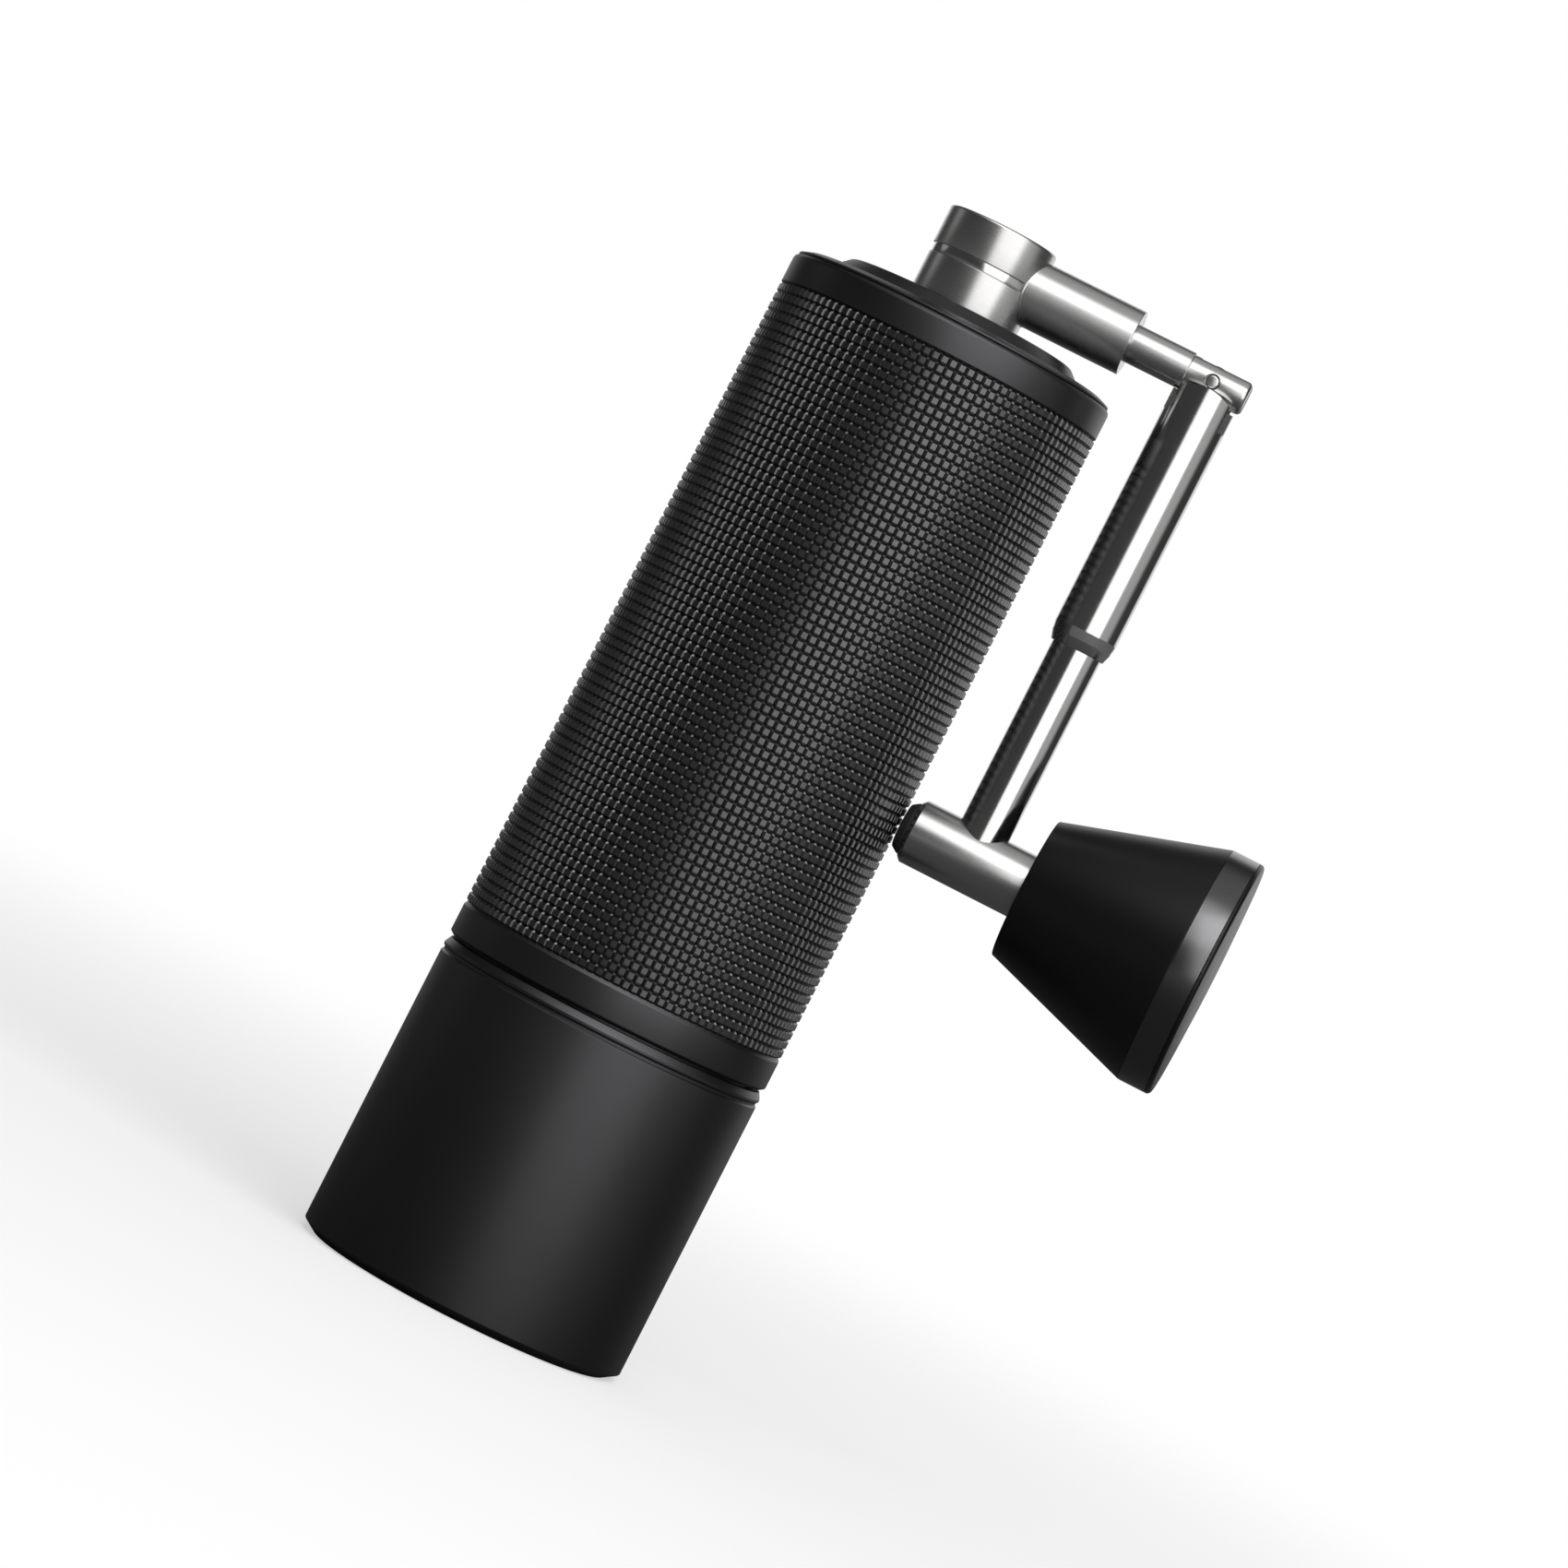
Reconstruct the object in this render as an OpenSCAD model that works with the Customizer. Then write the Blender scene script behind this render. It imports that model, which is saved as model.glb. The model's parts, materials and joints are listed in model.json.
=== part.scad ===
// Hand crank coffee grinder with a folding crank.
// Millimetres, +Z up. The origin is the centre of the flat base.
// The crank is folded down at rest, with its arm beside the body on the +X side.

/* [Body] */
// Outer diameter of the body and the cup
body_d = 53; // [52:0.5:60]
// Height of the body shell
shell_h = 114.4; // [108:0.2:140]
// Wall of the body shell
shell_wall = 3; // [2.6:0.1:3.4]
// Smooth band under the knurled grip
band_h = 5.3; // [3:0.1:8]
// Smooth ring above the knurled grip
ring_h = 5; // [3:0.1:8]
// Spacing of the grooves of the grip
knurl_pitch = 1.51; // [1.2:0.01:3]
// Width of a groove of the grip
knurl_groove_w = 0.7; // [0.3:0.05:0.9]
// Depth of a groove of the grip
knurl_depth = 0.4; // [0.1:0.02:0.6]
// Radius of the top edge of the body
ring_round = 0.9; // [0.3:0.1:1.5]
// Wall of the hopper liner
liner_wall = 1.4; // [1:0.1:2]

/* [Cup] */
// Height of the grounds cup
cup_h = 48.6; // [46:0.2:60]
// Wall of the grounds cup
cup_wall = 2.2; // [1.8:0.1:2.4]
// Floor of the grounds cup
cup_floor = 2.4; // [1.5:0.1:4]
// Width of the chamfer under the cup
foot_chamfer_w = 2; // [0.5:0.1:3]
// Height of the chamfer under the cup
foot_chamfer_h = 1.3; // [0.5:0.1:3]
// Chamfer round the lip of the cup
lip_chamfer = 1.1; // [0.4:0.1:1.4]
// Distance of the fine groove below the lip
lip_groove_drop = 1.85; // [1.6:0.05:3]
// Seam between the cup and the body
seam_gap = 0.6; // [0.4:0.1:1.2]
// Chamfer on the body at the seam
seam_chamfer = 0.7; // [0.3:0.1:1]

/* [Lid] */
// Thickness of the lid flange
flange_t = 0.95; // [0.8:0.05:2]
// Step from the body edge in to the lid flange
flange_inset = 0.5; // [0.3:0.1:1.2]
// Width of the bevel round the lid flange
flange_bevel_w = 1.6; // [0.5:0.1:3]
// Height of the bevel round the lid flange
flange_bevel_h = 0.6; // [0.3:0.05:0.7]
// Diameter of the raised disc at its foot
disc_d = 41.4; // [30:0.1:44]
// Height of the raised disc
disc_h = 2.05; // [1:0.05:4]
// Slope of the raised disc's side, measured inwards
disc_slope = 2.3; // [0.5:0.1:3]
// Radius of the fillet at the disc's foot
disc_foot = 0.6; // [0.2:0.1:1]
// Rounding of the disc's upper edge
disc_round = 0.9; // [0.3:0.1:1.2]
// Depth of the plug that fits the hopper
plug_h = 5.6; // [3:0.1:7]
// Wall of the plug
plug_wall = 1.7; // [1.2:0.1:3]
// Thickness of the lid plate inside the plug
plate_t = 2.6; // [1.5:0.1:3.5]

/* [Crank] */
// Diameter of the crank hub
hub_d = 17.5; // [14:0.1:20]
// Height of the crank hub above the lid
hub_h = 14.2; // [12:0.1:18]
// Height of the crank axis above the lid
axis_rise = 7.6; // [6.5:0.1:9]
// Height of the groove round the hub above the lid
hub_groove_rise = 6.5; // [4:0.1:8]
// Width of the groove round the hub
hub_groove_w = 1.4; // [0.8:0.1:2]
// Depth of the groove round the hub
hub_groove_d = 0.45; // [0.2:0.05:0.8]
// Rounding of the hub's top edge
hub_round = 0.5; // [0.2:0.1:1]
// Diameter of the hub's neck through the lid
neck_d = 12; // [10.5:0.2:13]
// Diameter of the boss tube
boss_d = 10.1; // [8.5:0.1:11]
// Radius of the fillet where the boss leaves the hub
boss_fillet = 1.2; // [0.5:0.1:1.3]
// Diameter of the rod that leaves the boss
rod_d = 6.05; // [5.5:0.05:6.4]
// Length of the rod outside the boss
rod_l = 9.3; // [7:0.1:12]
// Diameter of the hinge barrel
barrel_d = 5.5; // [5.2:0.02:5.6]
// Length of the hinge barrel
barrel_l = 9.8; // [9.4:0.1:10]
// Distance of the hinge pin from the barrel's shoulder
pin_inset = 4.4; // [4.2:0.1:4.8]
// Diameter of the hinge pin
pin_d = 2.1; // [1.6:0.05:2.2]
// Width of the slot in the barrel
fork_slot = 2.2; // [1.8:0.05:2.4]

/* [Arm] */
// Distance from the hinge pin to the knob's axis
arm_l = 80; // [76:0.1:100]
// Diameter of the thick arm tube
tube_d = 9.8; // [9.4:0.1:10.4]
// Distance from the hinge pin to the start of the taper
tube_l = 41.9; // [36:0.1:48]
// Length of the taper
taper_l = 3; // [1.5:0.1:5]
// Diameter at the end of the taper
taper_d = 8.4; // [8:0.1:9]
// Diameter of the arm rod
arm_rod_d = 7.8; // [6.8:0.1:7.9]
// Diameter of the cross tube
cross_d = 9.8; // [9:0.1:11]
// Distance from the arm's axis to the inner end of the cross tube
cross_inner = 10.45; // [8:0.05:12]
// Distance from the arm's axis to the knob
cross_outer = 8.45; // [7:0.05:12]
// Length of the rubber end pad
pad_l = 1.15; // [1:0.05:3]
// Gap between the end pad and the body
pad_gap = 0.35; // [0.35:0.05:1.5]

/* [Knob] */
// Length of the knob without its cap
knob_l = 29.4; // [26:0.1:38]
// Diameter of the knob's narrow end
knob_small_d = 22.3; // [18:0.1:26]
// Diameter of the knob's rim
knob_big_d = 38.2; // [32:0.1:42]
// Length of the cylindrical rim
knob_rim_l = 4.2; // [3:0.1:7]
// Height of the domed end cap
cap_h = 2; // [1.9:0.1:3]
// Radius of the dome of the end cap
cap_dome_r = 220; // [120:10:400]
// Rounding of the end cap's edge
cap_round = 0.9; // [0.4:0.1:1]
// Diameter of the knob's axle
axle_d = 5; // [4:0.1:5.4]
// Depth of the recess that takes the cross tube
knob_recess = 2; // [1.5:0.1:3]

/* [Mill] */
// Diameter of the drive shaft
shaft_d = 7; // [6.4:0.1:7.4]
// Diameter of the threaded end of the shaft
thread_d = 6; // [5:0.1:6.2]
// Distance across the flats of the shaft's hexagon
hex_af = 6; // [5.2:0.1:6.2]
// Wall of the mill housing round the outer burr
housing_wall = 2; // [1.5:0.1:2.4]
// Wall of the outer burr round the inner burr's base
ring_burr_wall = 2.7; // [2.4:0.1:3.2]
// Height of the fine cutting stage
fine_h = 7; // [5.5:0.1:8]
// Height of the breaking stage
coarse_h = 12; // [9:0.1:13]
// Number of fine teeth
fine_teeth = 36; // [24:1:48]
// Number of breaking blades
blades = 6; // [4:1:8]
// Depth of the fine teeth
tooth_depth = 0.9; // [0.4:0.1:1.2]
// Radial gap between the burrs at their outlet
burr_gap = 0.32; // [0.3:0.02:0.6]
// Height of the outer burr
ring_burr_h = 12; // [11:0.1:14]
// Diameter of the ball bearings
bearing_d = 19; // [17:0.5:20]
// Width of the ball bearings
bearing_w = 6; // [5:0.1:7]
// Number of balls in a bearing
balls = 8; // [6:1:9]
// Width of the arms that carry the bearings
arm_w = 5; // [3:0.5:6]
// Diameter of the grind dial
dial_d = 32; // [28:0.5:36]
// Thickness of the grind dial's rim
dial_t = 4; // [3:0.1:5]
// Number of clicks in a turn of the dial
clicks = 12; // [8:1:16]

/* [Fits] */
// Gap round a pressed or seated piece
seat_gap = 0.03; // [0.02:0.01:0.05]
// Gap round a running piece
run_gap = 0.05; // [0.03:0.01:0.08]
// Gap round a thread or a loose fit
thread_gap = 0.3; // [0.2:0.05:0.4]
// Gap between the fork and the tongue of the hinge
fork_gap = 0.1; // [0.08:0.01:0.15]

/* [Hidden] */

$fn = 96;
// Overshoot of a cutter past a face, and overlap where two solids of a piece join
over = 1;
join = 0.01;
// Gap along the axis between stacked pieces, and the small chamfer on a sharp edge
end_gap = 0.1;
edge = 0.15;

// Radii from the outside in
body_r = body_d / 2;
shell_in = body_r - shell_wall;
cup_in = body_r - cup_wall;
spigot_r = shell_in - seat_gap;
neck_out = cup_in - thread_gap;
liner_out = shell_in - seat_gap;
liner_in = liner_out - liner_wall;
rim_out = liner_in - seat_gap;
rim_wall = 1.5;
rim_in = rim_out - rim_wall;
ring_burr_r = spigot_r - housing_wall;
burr_r = ring_burr_r - ring_burr_wall;

// Heights of the shell and its grip
shell_z = cup_h + seam_gap;
shell_top = shell_z + shell_h;
grip_z = shell_z + band_h;
grip_top = shell_top - ring_h;
grip_rows = round((grip_top - grip_z) / knurl_pitch);
grip_pitch = (grip_top - grip_z) / grip_rows;
band_chamfer = 0.35;
grip_profile = [
    for (i = [0:grip_rows], k = [0:2])
        [body_r - (k == 1 ? knurl_depth : 0), grip_z + i * grip_pitch + (k - 1) * knurl_groove_w / 2]
];

// Cup
foot_r = body_r - foot_chamfer_w;
lip_groove_w = 0.36;
lip_groove_d = 0.25;
cup_fillet = 2;

// Mill heights
shelf_rise = 1.8;
shelf_z = shell_z + shelf_rise;
housing_lip = 1.2;
neck_l = 10.6;
neck_z = shell_z - neck_l;
housing_top = shelf_z + ring_burr_h + housing_lip;
liner_z = housing_top;
burr_rise = 0.7;
burr_z = shelf_z + burr_rise;
burr_mid = burr_z + fine_h;
burr_top = burr_mid + coarse_h;
shelf_w = 1.3;
exit_r = ring_burr_r - shelf_w;
neck_chamfer = 0.6;

// Seal ring of the neck
seal_r = 0.8;
seal_rise = 2.6;
seal_z = neck_z + seal_rise;
seal_path_r = neck_out + thread_gap - run_gap - seal_r;

// Burr cones: the two stages flare downwards, and the gap closes towards the outlet
fine_slope = 0.4;
ring_slope = 1 / 3;
burr_mid_r = burr_r - fine_slope * fine_h;
burr_top_r = 8.5;
tooth_rake = 0.3;
blade_root = 0.62;
blade_turns = [0, 0.16, 0.3, 0.72];
blade_reach = [0.97, 1];
blade_heel = 0.08;
fine_twist = -12;
coarse_twist = -55;
ring_fine_h = burr_mid - shelf_z;
ring_base_r = burr_r + burr_gap + ring_slope * (burr_z - shelf_z);
ring_mid_r = ring_base_r - ring_slope * ring_fine_h;
intake_flare = 1.75;
ring_intake_r = ring_mid_r + intake_flare;
intake_lobes = 24;
intake_depth = 1.2;
intake_twist = -20;
screw_z = shelf_z + ring_burr_h / 2;
screw_r = 1.2;
screw_bite = 0.7;
screw_inset = 0.2;
screw_angles = [30, 150, 270];

// Bearings, spring and brackets
bearing_r = bearing_d / 2;
shaft_r = shaft_d / 2;
spring_z = burr_top + end_gap;
spring_h = 7.2;
spring_wire = 1.1;
spring_space = 1.9;
spring_mean_r = shaft_r + spring_space;
spring_turns = 3;
lower_z = spring_z + spring_h + end_gap;
upper_drop = 20.6;
upper_z = shell_top - upper_drop;
race_t = 1.75;
race_groove_d = 0.22;
ball_path_r = (shaft_r + bearing_r) / 2;
ball_r = (bearing_r - shaft_r) / 2 - race_t + race_groove_d;
lip_t = 0.8;
lip_reach = 0.4;
bracket_wall = 2.5;
bracket_hub_r = bearing_r + bracket_wall;
bracket_root = 0.6;
bracket_angles = [90, 210, 330];
collar_w = 0.9;
collar_r = shaft_r + collar_w;
collar_t = 1.2;
clip_t = 0.8;
clip_w = 1.9;
clip_split = 3;

// Click plate, dial and shaft end
plate_h = 1.7;
plate_r = 8.2;
plate_z = burr_z - end_gap - plate_h;
dial_top = plate_z - end_gap;
dial_hub_h = 4.2;
dial_r = dial_d / 2;
dial_hub_r = 8;
dial_z = dial_top - dial_t - dial_hub_h;
thread_r = thread_d / 2;
scallop_r = 1.5;
scallop_inset = 0.9;
ball_pocket_h = 2.4;
dial_travel = 2;
stop_t = 1.1;
stop_w = 1.4;
stop_clear = 0.5;
stop_z = dial_z - dial_travel - stop_clear - stop_t;
shaft_z = stop_z;
click_r = 6;
click_ball_r = 1;
click_sink = 0.7;
flat_d = 0.7;
flat_x = shaft_r - flat_d;

// Lid and crank heights
flange_r = body_r - flange_inset;
flange_top = shell_top + flange_t;
lid_top = flange_top + disc_h;
disc_r = disc_d / 2;
disc_pitch = atan2(disc_h, disc_slope);
disc_foot_r = disc_r + disc_foot * tan(disc_pitch / 2);
disc_top_r = disc_r - disc_slope - disc_round * tan(disc_pitch / 2);
plug_r = liner_in - thread_gap;
plug_z = shell_top - plug_h;
plate_z0 = shell_top - plate_t;
bush_t = 1;
neck_r = neck_d / 2;
lid_bore = neck_r + run_gap + bush_t + seat_gap;
gasket_t = 1.35;
gasket_h = 1.8;
gasket_rise = 1.6;
gasket_bulge = 0.2;
gasket_z = plug_z + gasket_rise;
gasket_out = plug_r + gasket_bulge;
gasket_in = gasket_out - gasket_t;
clip_drop = 0.3;
clip_bite = 0.8;
clip_land = 1.3;
clip_z = plate_z0 - clip_drop - clip_t;
neck_bottom = clip_z - clip_land;
socket_roof = 1.4;
socket_top = lid_top - socket_roof;
hex_gap = 0.18;
shaft_clear = 0.5;
shaft_top = socket_top - shaft_clear;
hex_rise = 2;
hex_z = upper_z + bearing_w + hex_rise;
liner_drop = 0.3;

// Crank axis and hinge
axis_z = lid_top + axis_rise;
hub_r = hub_d / 2;
hub_foot_r = hub_r - edge;
fillet_root = 3;
boss_r = boss_d / 2;
hub_top = lid_top + hub_h;
hub_groove_z = lid_top + hub_groove_rise;
arm_x = body_r + pad_gap + pad_l + cross_inner;
shoulder_x = arm_x - pin_inset;
boss_end = shoulder_x - rod_l;
tip_x = shoulder_x + barrel_l;
rod_r = rod_d / 2;
barrel_r = barrel_d / 2;
pin_r = pin_d / 2;
tip_round = 0.7;
rod_seat_l = 11;
rod_start = boss_end - rod_seat_l;
fork_depth = 3;
tongue_t = fork_slot - 2 * fork_gap;
eye_inset = 0.12;
eye_r = barrel_r - eye_inset;
tube_r = tube_d / 2;
tongue_lead = 0.38;
tongue_step = barrel_r + tongue_lead;
slot_w = barrel_d + 2 * (fork_gap + run_gap);
slot_end = 0.4;
slot_depth = sqrt(pow(tip_x - arm_x, 2) + pow(barrel_r, 2)) + slot_end;
lobe_drop = 1.3;
lobe_side_drop = 2.8;
lobe_rise = lobe_side_drop - lobe_drop;
lobe_r = (pow(tube_r, 2) + pow(lobe_rise, 2)) / (2 * lobe_rise);

// Arm
knob_z = axis_z - arm_l;
taper_z = axis_z - tube_l;
taper_end = taper_z - taper_l;
taper_swell = 0.12;
arm_rod_r = arm_rod_d / 2;
rod_bore_l = 18;
arm_rod_top = taper_z + rod_bore_l;
cross_r = cross_d / 2;
cross_x0 = arm_x - cross_inner;
knob_x0 = arm_x + cross_outer;
recess_gap = 0.5;
cross_x1 = knob_x0 + knob_recess - recess_gap;
cross_chamfer = 0.6;
spigot_rod_r = 2.5;
axle_r = axle_d / 2;
spigot_wall = 0.8;
spigot_end = knob_z + axle_r + spigot_wall;
blind_gap = 0.2;
stem_r = 1.5;
stem_l = 3.5;
pad_x0 = cross_x0 - pad_l;
pad_base_r = 4.2;
pad_nose_r = 3.2;

// Knob
knob_x1 = knob_x0 + knob_l;
knob_small_r = knob_small_d / 2;
knob_big_r = knob_big_d / 2;
knob_cone_x = knob_x1 - knob_rim_l;
knob_seam = 0.2;
knob_edge = 0.3;
cap_inset = 0.05;
cap_r = knob_big_r - cap_inset;
cap_end = knob_x1 + cap_h;
cap_pin_l = 1;
bush_wall = 1.3;
bush_out = axle_r + run_gap + bush_wall;
bush_l = 6;
recess_side = 0.35;
recess_r = cross_r + recess_side;
head_r = 4.6;
head_t = 1.3;
cap_pocket_l = 4;
pocket_x = knob_x1 - cap_pocket_l;
pocket_r = 10;
axle_wall = 1.5;
axle_x0 = cross_x0 + stem_l + axle_wall;
head_gap = 0.5;
head_x = pocket_x + head_gap;

// Points along an arc from angle a0 to a1
function arc(cx, cz, r, a0, a1, n) =
    [for (i = [0:n]) [cx + r * cos(a0 + (a1 - a0) * i / n), cz + r * sin(a0 + (a1 - a0) * i / n)]];

// A saw-toothed outline whose tips lie on radius r
function teeth(r, depth, n) =
    [for (i = [0:n - 1], k = [0:1])
        let (a = 360 * (i + k * tooth_rake) / n)
        (r - (1 - k) * depth) * [cos(a), sin(a)]];

// Swept-back blades whose tips lie on radius r
function blade_points(r, root, n) = [
    for (i = [0:n - 1], k = [0:3])
        let (a = 360 * (i + blade_turns[k]) / n)
        r * (k % 3 == 0 ? root + blade_heel * k / 3 : blade_reach[k - 1]) * [cos(a), sin(a)]
];

module tube(z0, z1, r_out, r_in) {
    difference() {
        translate([0, 0, z0]) cylinder(h = z1 - z0, r = r_out);
        translate([0, 0, z0 - over]) cylinder(h = z1 - z0 + 2 * over, r = r_in);
    }
}

// Lays a solid of revolution about Z along X, with its origin at the knob's axis
module on_knob_axis() {
    translate([0, 0, knob_z]) rotate([0, 90, 0]) children();
}

module on_crank_axis() {
    translate([0, 0, axis_z]) rotate([0, 90, 0]) children();
}

// Shaft section with a flat, grown by a gap
module keyed_section(z0, z1, gap, r = shaft_r) {
    intersection() {
        translate([0, 0, z0]) cylinder(h = z1 - z0, r = r + gap);
        translate([-2 * shaft_r, -2 * shaft_r, z0]) cube([2 * shaft_r + flat_x + gap, 4 * shaft_r, z1 - z0]);
    }
}

// ---- Body ----

module body_shell() {
    color("#26262a")
    rotate_extrude()
    polygon(concat(
        [
            [shell_in, shell_z],
            [body_r - seam_chamfer, shell_z],
            [body_r, shell_z + seam_chamfer],
            [body_r, grip_z - knurl_groove_w / 2 - band_chamfer],
            [body_r - band_chamfer / 2, grip_z - knurl_groove_w / 2 - join]
        ],
        [for (i = [1:len(grip_profile) - 1]) grip_profile[i]],
        arc(body_r - ring_round, shell_top - ring_round, ring_round, 0, 90, 4),
        [[shell_in, shell_top]]
    ));
}

module hopper_liner() {
    color("#b9bcc0") tube(liner_z, shell_top - liner_drop, liner_out, liner_in);
}

module bracket(z) {
    difference() {
        union() {
            translate([0, 0, z - lip_t]) cylinder(h = bearing_w + lip_t, r = bracket_hub_r);
            tube(z, z + bearing_w, rim_out, rim_in);
            for (a = bracket_angles)
                rotate([0, 0, a])
                translate([bracket_hub_r - bracket_root, -arm_w / 2, z])
                cube([rim_in - bracket_hub_r + 2 * bracket_root, arm_w, bearing_w]);
        }
        translate([0, 0, z]) cylinder(h = bearing_w + over, r = bearing_r + seat_gap);
        translate([0, 0, z - lip_t - over])
            cylinder(h = 2 * over + lip_t, r = bearing_r - race_t + lip_reach);
    }
}

module race_groove(z) {
    rotate_extrude()
    translate([ball_path_r, z + bearing_w / 2])
    circle(r = ball_r + run_gap, $fn = 32);
}

module outer_race(z) {
    difference() {
        tube(z, z + bearing_w, bearing_r, bearing_r - race_t);
        race_groove(z);
    }
}

module inner_race(z) {
    difference() {
        tube(z, z + bearing_w, shaft_r + race_t, shaft_r + seat_gap);
        race_groove(z);
    }
}

module ball_ring(z) {
    for (i = [0:balls - 1])
        rotate([0, 0, 360 * i / balls])
        translate([ball_path_r, 0, z + bearing_w / 2])
        sphere(r = ball_r, $fn = 32);
}

module upper_bracket() {
    color("#8d9196") bracket(upper_z);
}

module lower_bracket() {
    color("#8d9196") bracket(lower_z);
}

module upper_outer_race() {
    color("#c9ccd0") outer_race(upper_z);
}

module lower_outer_race() {
    color("#c9ccd0") outer_race(lower_z);
}

module upper_inner_race() {
    color("#d6d8db") inner_race(upper_z);
}

module lower_inner_race() {
    color("#d6d8db") inner_race(lower_z);
}

module upper_balls() {
    color("#e4e6e8") ball_ring(upper_z);
}

module lower_balls() {
    color("#e4e6e8") ball_ring(lower_z);
}

module mill_housing() {
    color("#9a9da1")
    difference() {
        rotate_extrude()
        polygon([
            [exit_r, neck_z],
            [neck_out - neck_chamfer, neck_z],
            [neck_out, neck_z + neck_chamfer],
            [neck_out, shell_z],
            [spigot_r, shell_z],
            [spigot_r, housing_top],
            [ring_burr_r + seat_gap, housing_top],
            [ring_burr_r + seat_gap, shelf_z],
            [exit_r, shelf_z]
        ]);
        rotate_extrude() translate([seal_path_r, seal_z]) circle(r = seal_r + run_gap, $fn = 32);
        screw_bores(seat_gap, over);
    }
}

module neck_seal() {
    color("#1b1b1b") rotate_extrude() translate([seal_path_r, seal_z]) circle(r = seal_r, $fn = 32);
}

// The grub screws, or their radial bores, wider by a gap and run past the housing
module screw_bores(gap = 0, past = 0) {
    for (a = screw_angles)
        rotate([0, 0, a])
        translate([ring_burr_r - screw_bite - gap, 0, screw_z])
        rotate([0, 90, 0])
        cylinder(h = housing_wall + screw_bite - screw_inset + past, r = screw_r + gap, $fn = 32);
}

module burr_screws() {
    color("#55585c") screw_bores();
}

// ---- Burrs ----

// Both cutting stages of the ring burr, grown a little past its faces
module ring_burr_bore() {
    translate([0, 0, shelf_z - join])
        linear_extrude(
            height = ring_fine_h + 2 * join, twist = fine_twist, scale = ring_mid_r / ring_base_r, slices = 4
        )
        polygon(teeth(ring_base_r + tooth_depth, tooth_depth, fine_teeth));
    translate([0, 0, burr_mid])
        linear_extrude(
            height = shelf_z + ring_burr_h - burr_mid + 2 * join, twist = intake_twist,
            scale = ring_intake_r / ring_mid_r, slices = 3
        )
        polygon(teeth(ring_mid_r + intake_depth, intake_depth, intake_lobes));
}

module outer_burr() {
    color("#74777b")
    difference() {
        translate([0, 0, shelf_z]) cylinder(h = ring_burr_h, r = ring_burr_r);
        ring_burr_bore();
        screw_bores(seat_gap, over);
    }
}

module inner_burr() {
    color("#6c6f73")
    difference() {
        union() {
            translate([0, 0, burr_z])
                linear_extrude(height = fine_h, twist = fine_twist, scale = burr_mid_r / burr_r, slices = 4)
                polygon(teeth(burr_r, tooth_depth, fine_teeth));
            translate([0, 0, burr_mid - join])
                linear_extrude(
                    height = coarse_h + join, twist = coarse_twist,
                    scale = burr_top_r / burr_mid_r, slices = 8
                )
                polygon(blade_points(burr_mid_r, blade_root, blades));
        }
        keyed_section(burr_z - over, burr_top + over, run_gap);
    }
}

// Level section through the coil, which the twist sweeps into round wire
function coil_section(r, wire, lead, n) = concat(
    [for (i = [0:n]) let (t = 90 - 180 * i / n) coil_point(r + wire * cos(t), wire * sin(t) / lead)],
    [for (i = [1:n - 1]) let (t = 180 * i / n - 90) coil_point(r - wire * cos(t), wire * sin(t) / lead)]
);

function coil_point(r, turns) = r * [cos(360 * turns), sin(360 * turns)];

module burr_spring() {
    color("#c2c5c8")
    translate([0, 0, spring_z + spring_wire / 2])
    linear_extrude(
        height = spring_h - spring_wire, twist = -360 * spring_turns, slices = 16 * spring_turns, $fn = 8
    )
    polygon(coil_section(spring_mean_r, spring_wire / 2, (spring_h - spring_wire) / spring_turns, 6));
}

// ---- Shaft, dial and clicks ----

module drive_shaft() {
    color("#cfd2d5")
    union() {
        keyed_section(shaft_z, plate_z, 0, thread_r);
        keyed_section(plate_z, burr_top, 0);
        translate([0, 0, burr_top]) cylinder(h = hex_z - burr_top, r = shaft_r);
        translate([0, 0, lower_z + bearing_w + run_gap]) cylinder(h = collar_t, r = collar_r);
        translate([0, 0, upper_z - collar_t - run_gap]) cylinder(h = collar_t, r = collar_r);
        translate([0, 0, hex_z]) cylinder(h = shaft_top - hex_z, r = hex_af / sqrt(3), $fn = 6);
    }
}

module split_clip(z, r_in, r_out, t) {
    difference() {
        tube(z, z + t, r_out, r_in);
        translate([0, -clip_split / 2, z - over]) cube([2 * r_out, clip_split, t + 2 * over]);
    }
}

module shaft_clip() {
    color("#3f4246") split_clip(upper_z + bearing_w + end_gap, shaft_r + seat_gap, shaft_r + clip_w, clip_t);
}

module end_stop() {
    color("#55585c") tube(stop_z, stop_z + stop_t, thread_r + stop_w, thread_r + seat_gap);
}

module click_plate() {
    color("#a6a9ad")
    difference() {
        translate([0, 0, plate_z]) cylinder(h = plate_h, r = plate_r);
        keyed_section(plate_z - over, plate_z + plate_h + over, run_gap);
        for (i = [0:clicks - 1])
            rotate([0, 0, 360 * i / clicks])
            translate([click_r, 0, plate_z - click_ball_r * click_sink])
            sphere(r = click_ball_r, $fn = 24);
    }
}

module adjust_dial() {
    color("#33363a")
    difference() {
        union() {
            translate([0, 0, dial_top - dial_t]) cylinder(h = dial_t, r = dial_r);
            translate([0, 0, dial_z]) cylinder(h = dial_hub_h + join, r = dial_hub_r);
        }
        translate([0, 0, dial_z - over]) cylinder(h = 2 * over + dial_t + dial_hub_h, r = thread_r + run_gap);
        for (i = [0:2 * clicks - 1])
            rotate([0, 0, 180 * i / clicks])
            translate([dial_r - scallop_inset + scallop_r, 0, dial_top - dial_t - over])
            cylinder(h = dial_t + 2 * over, r = scallop_r, $fn = 24);
        for (a = [0, 180])
            rotate([0, 0, a])
            translate([click_r, 0, dial_top - ball_pocket_h])
            cylinder(h = ball_pocket_h + over, r = click_ball_r + run_gap, $fn = 24);
    }
}

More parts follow.
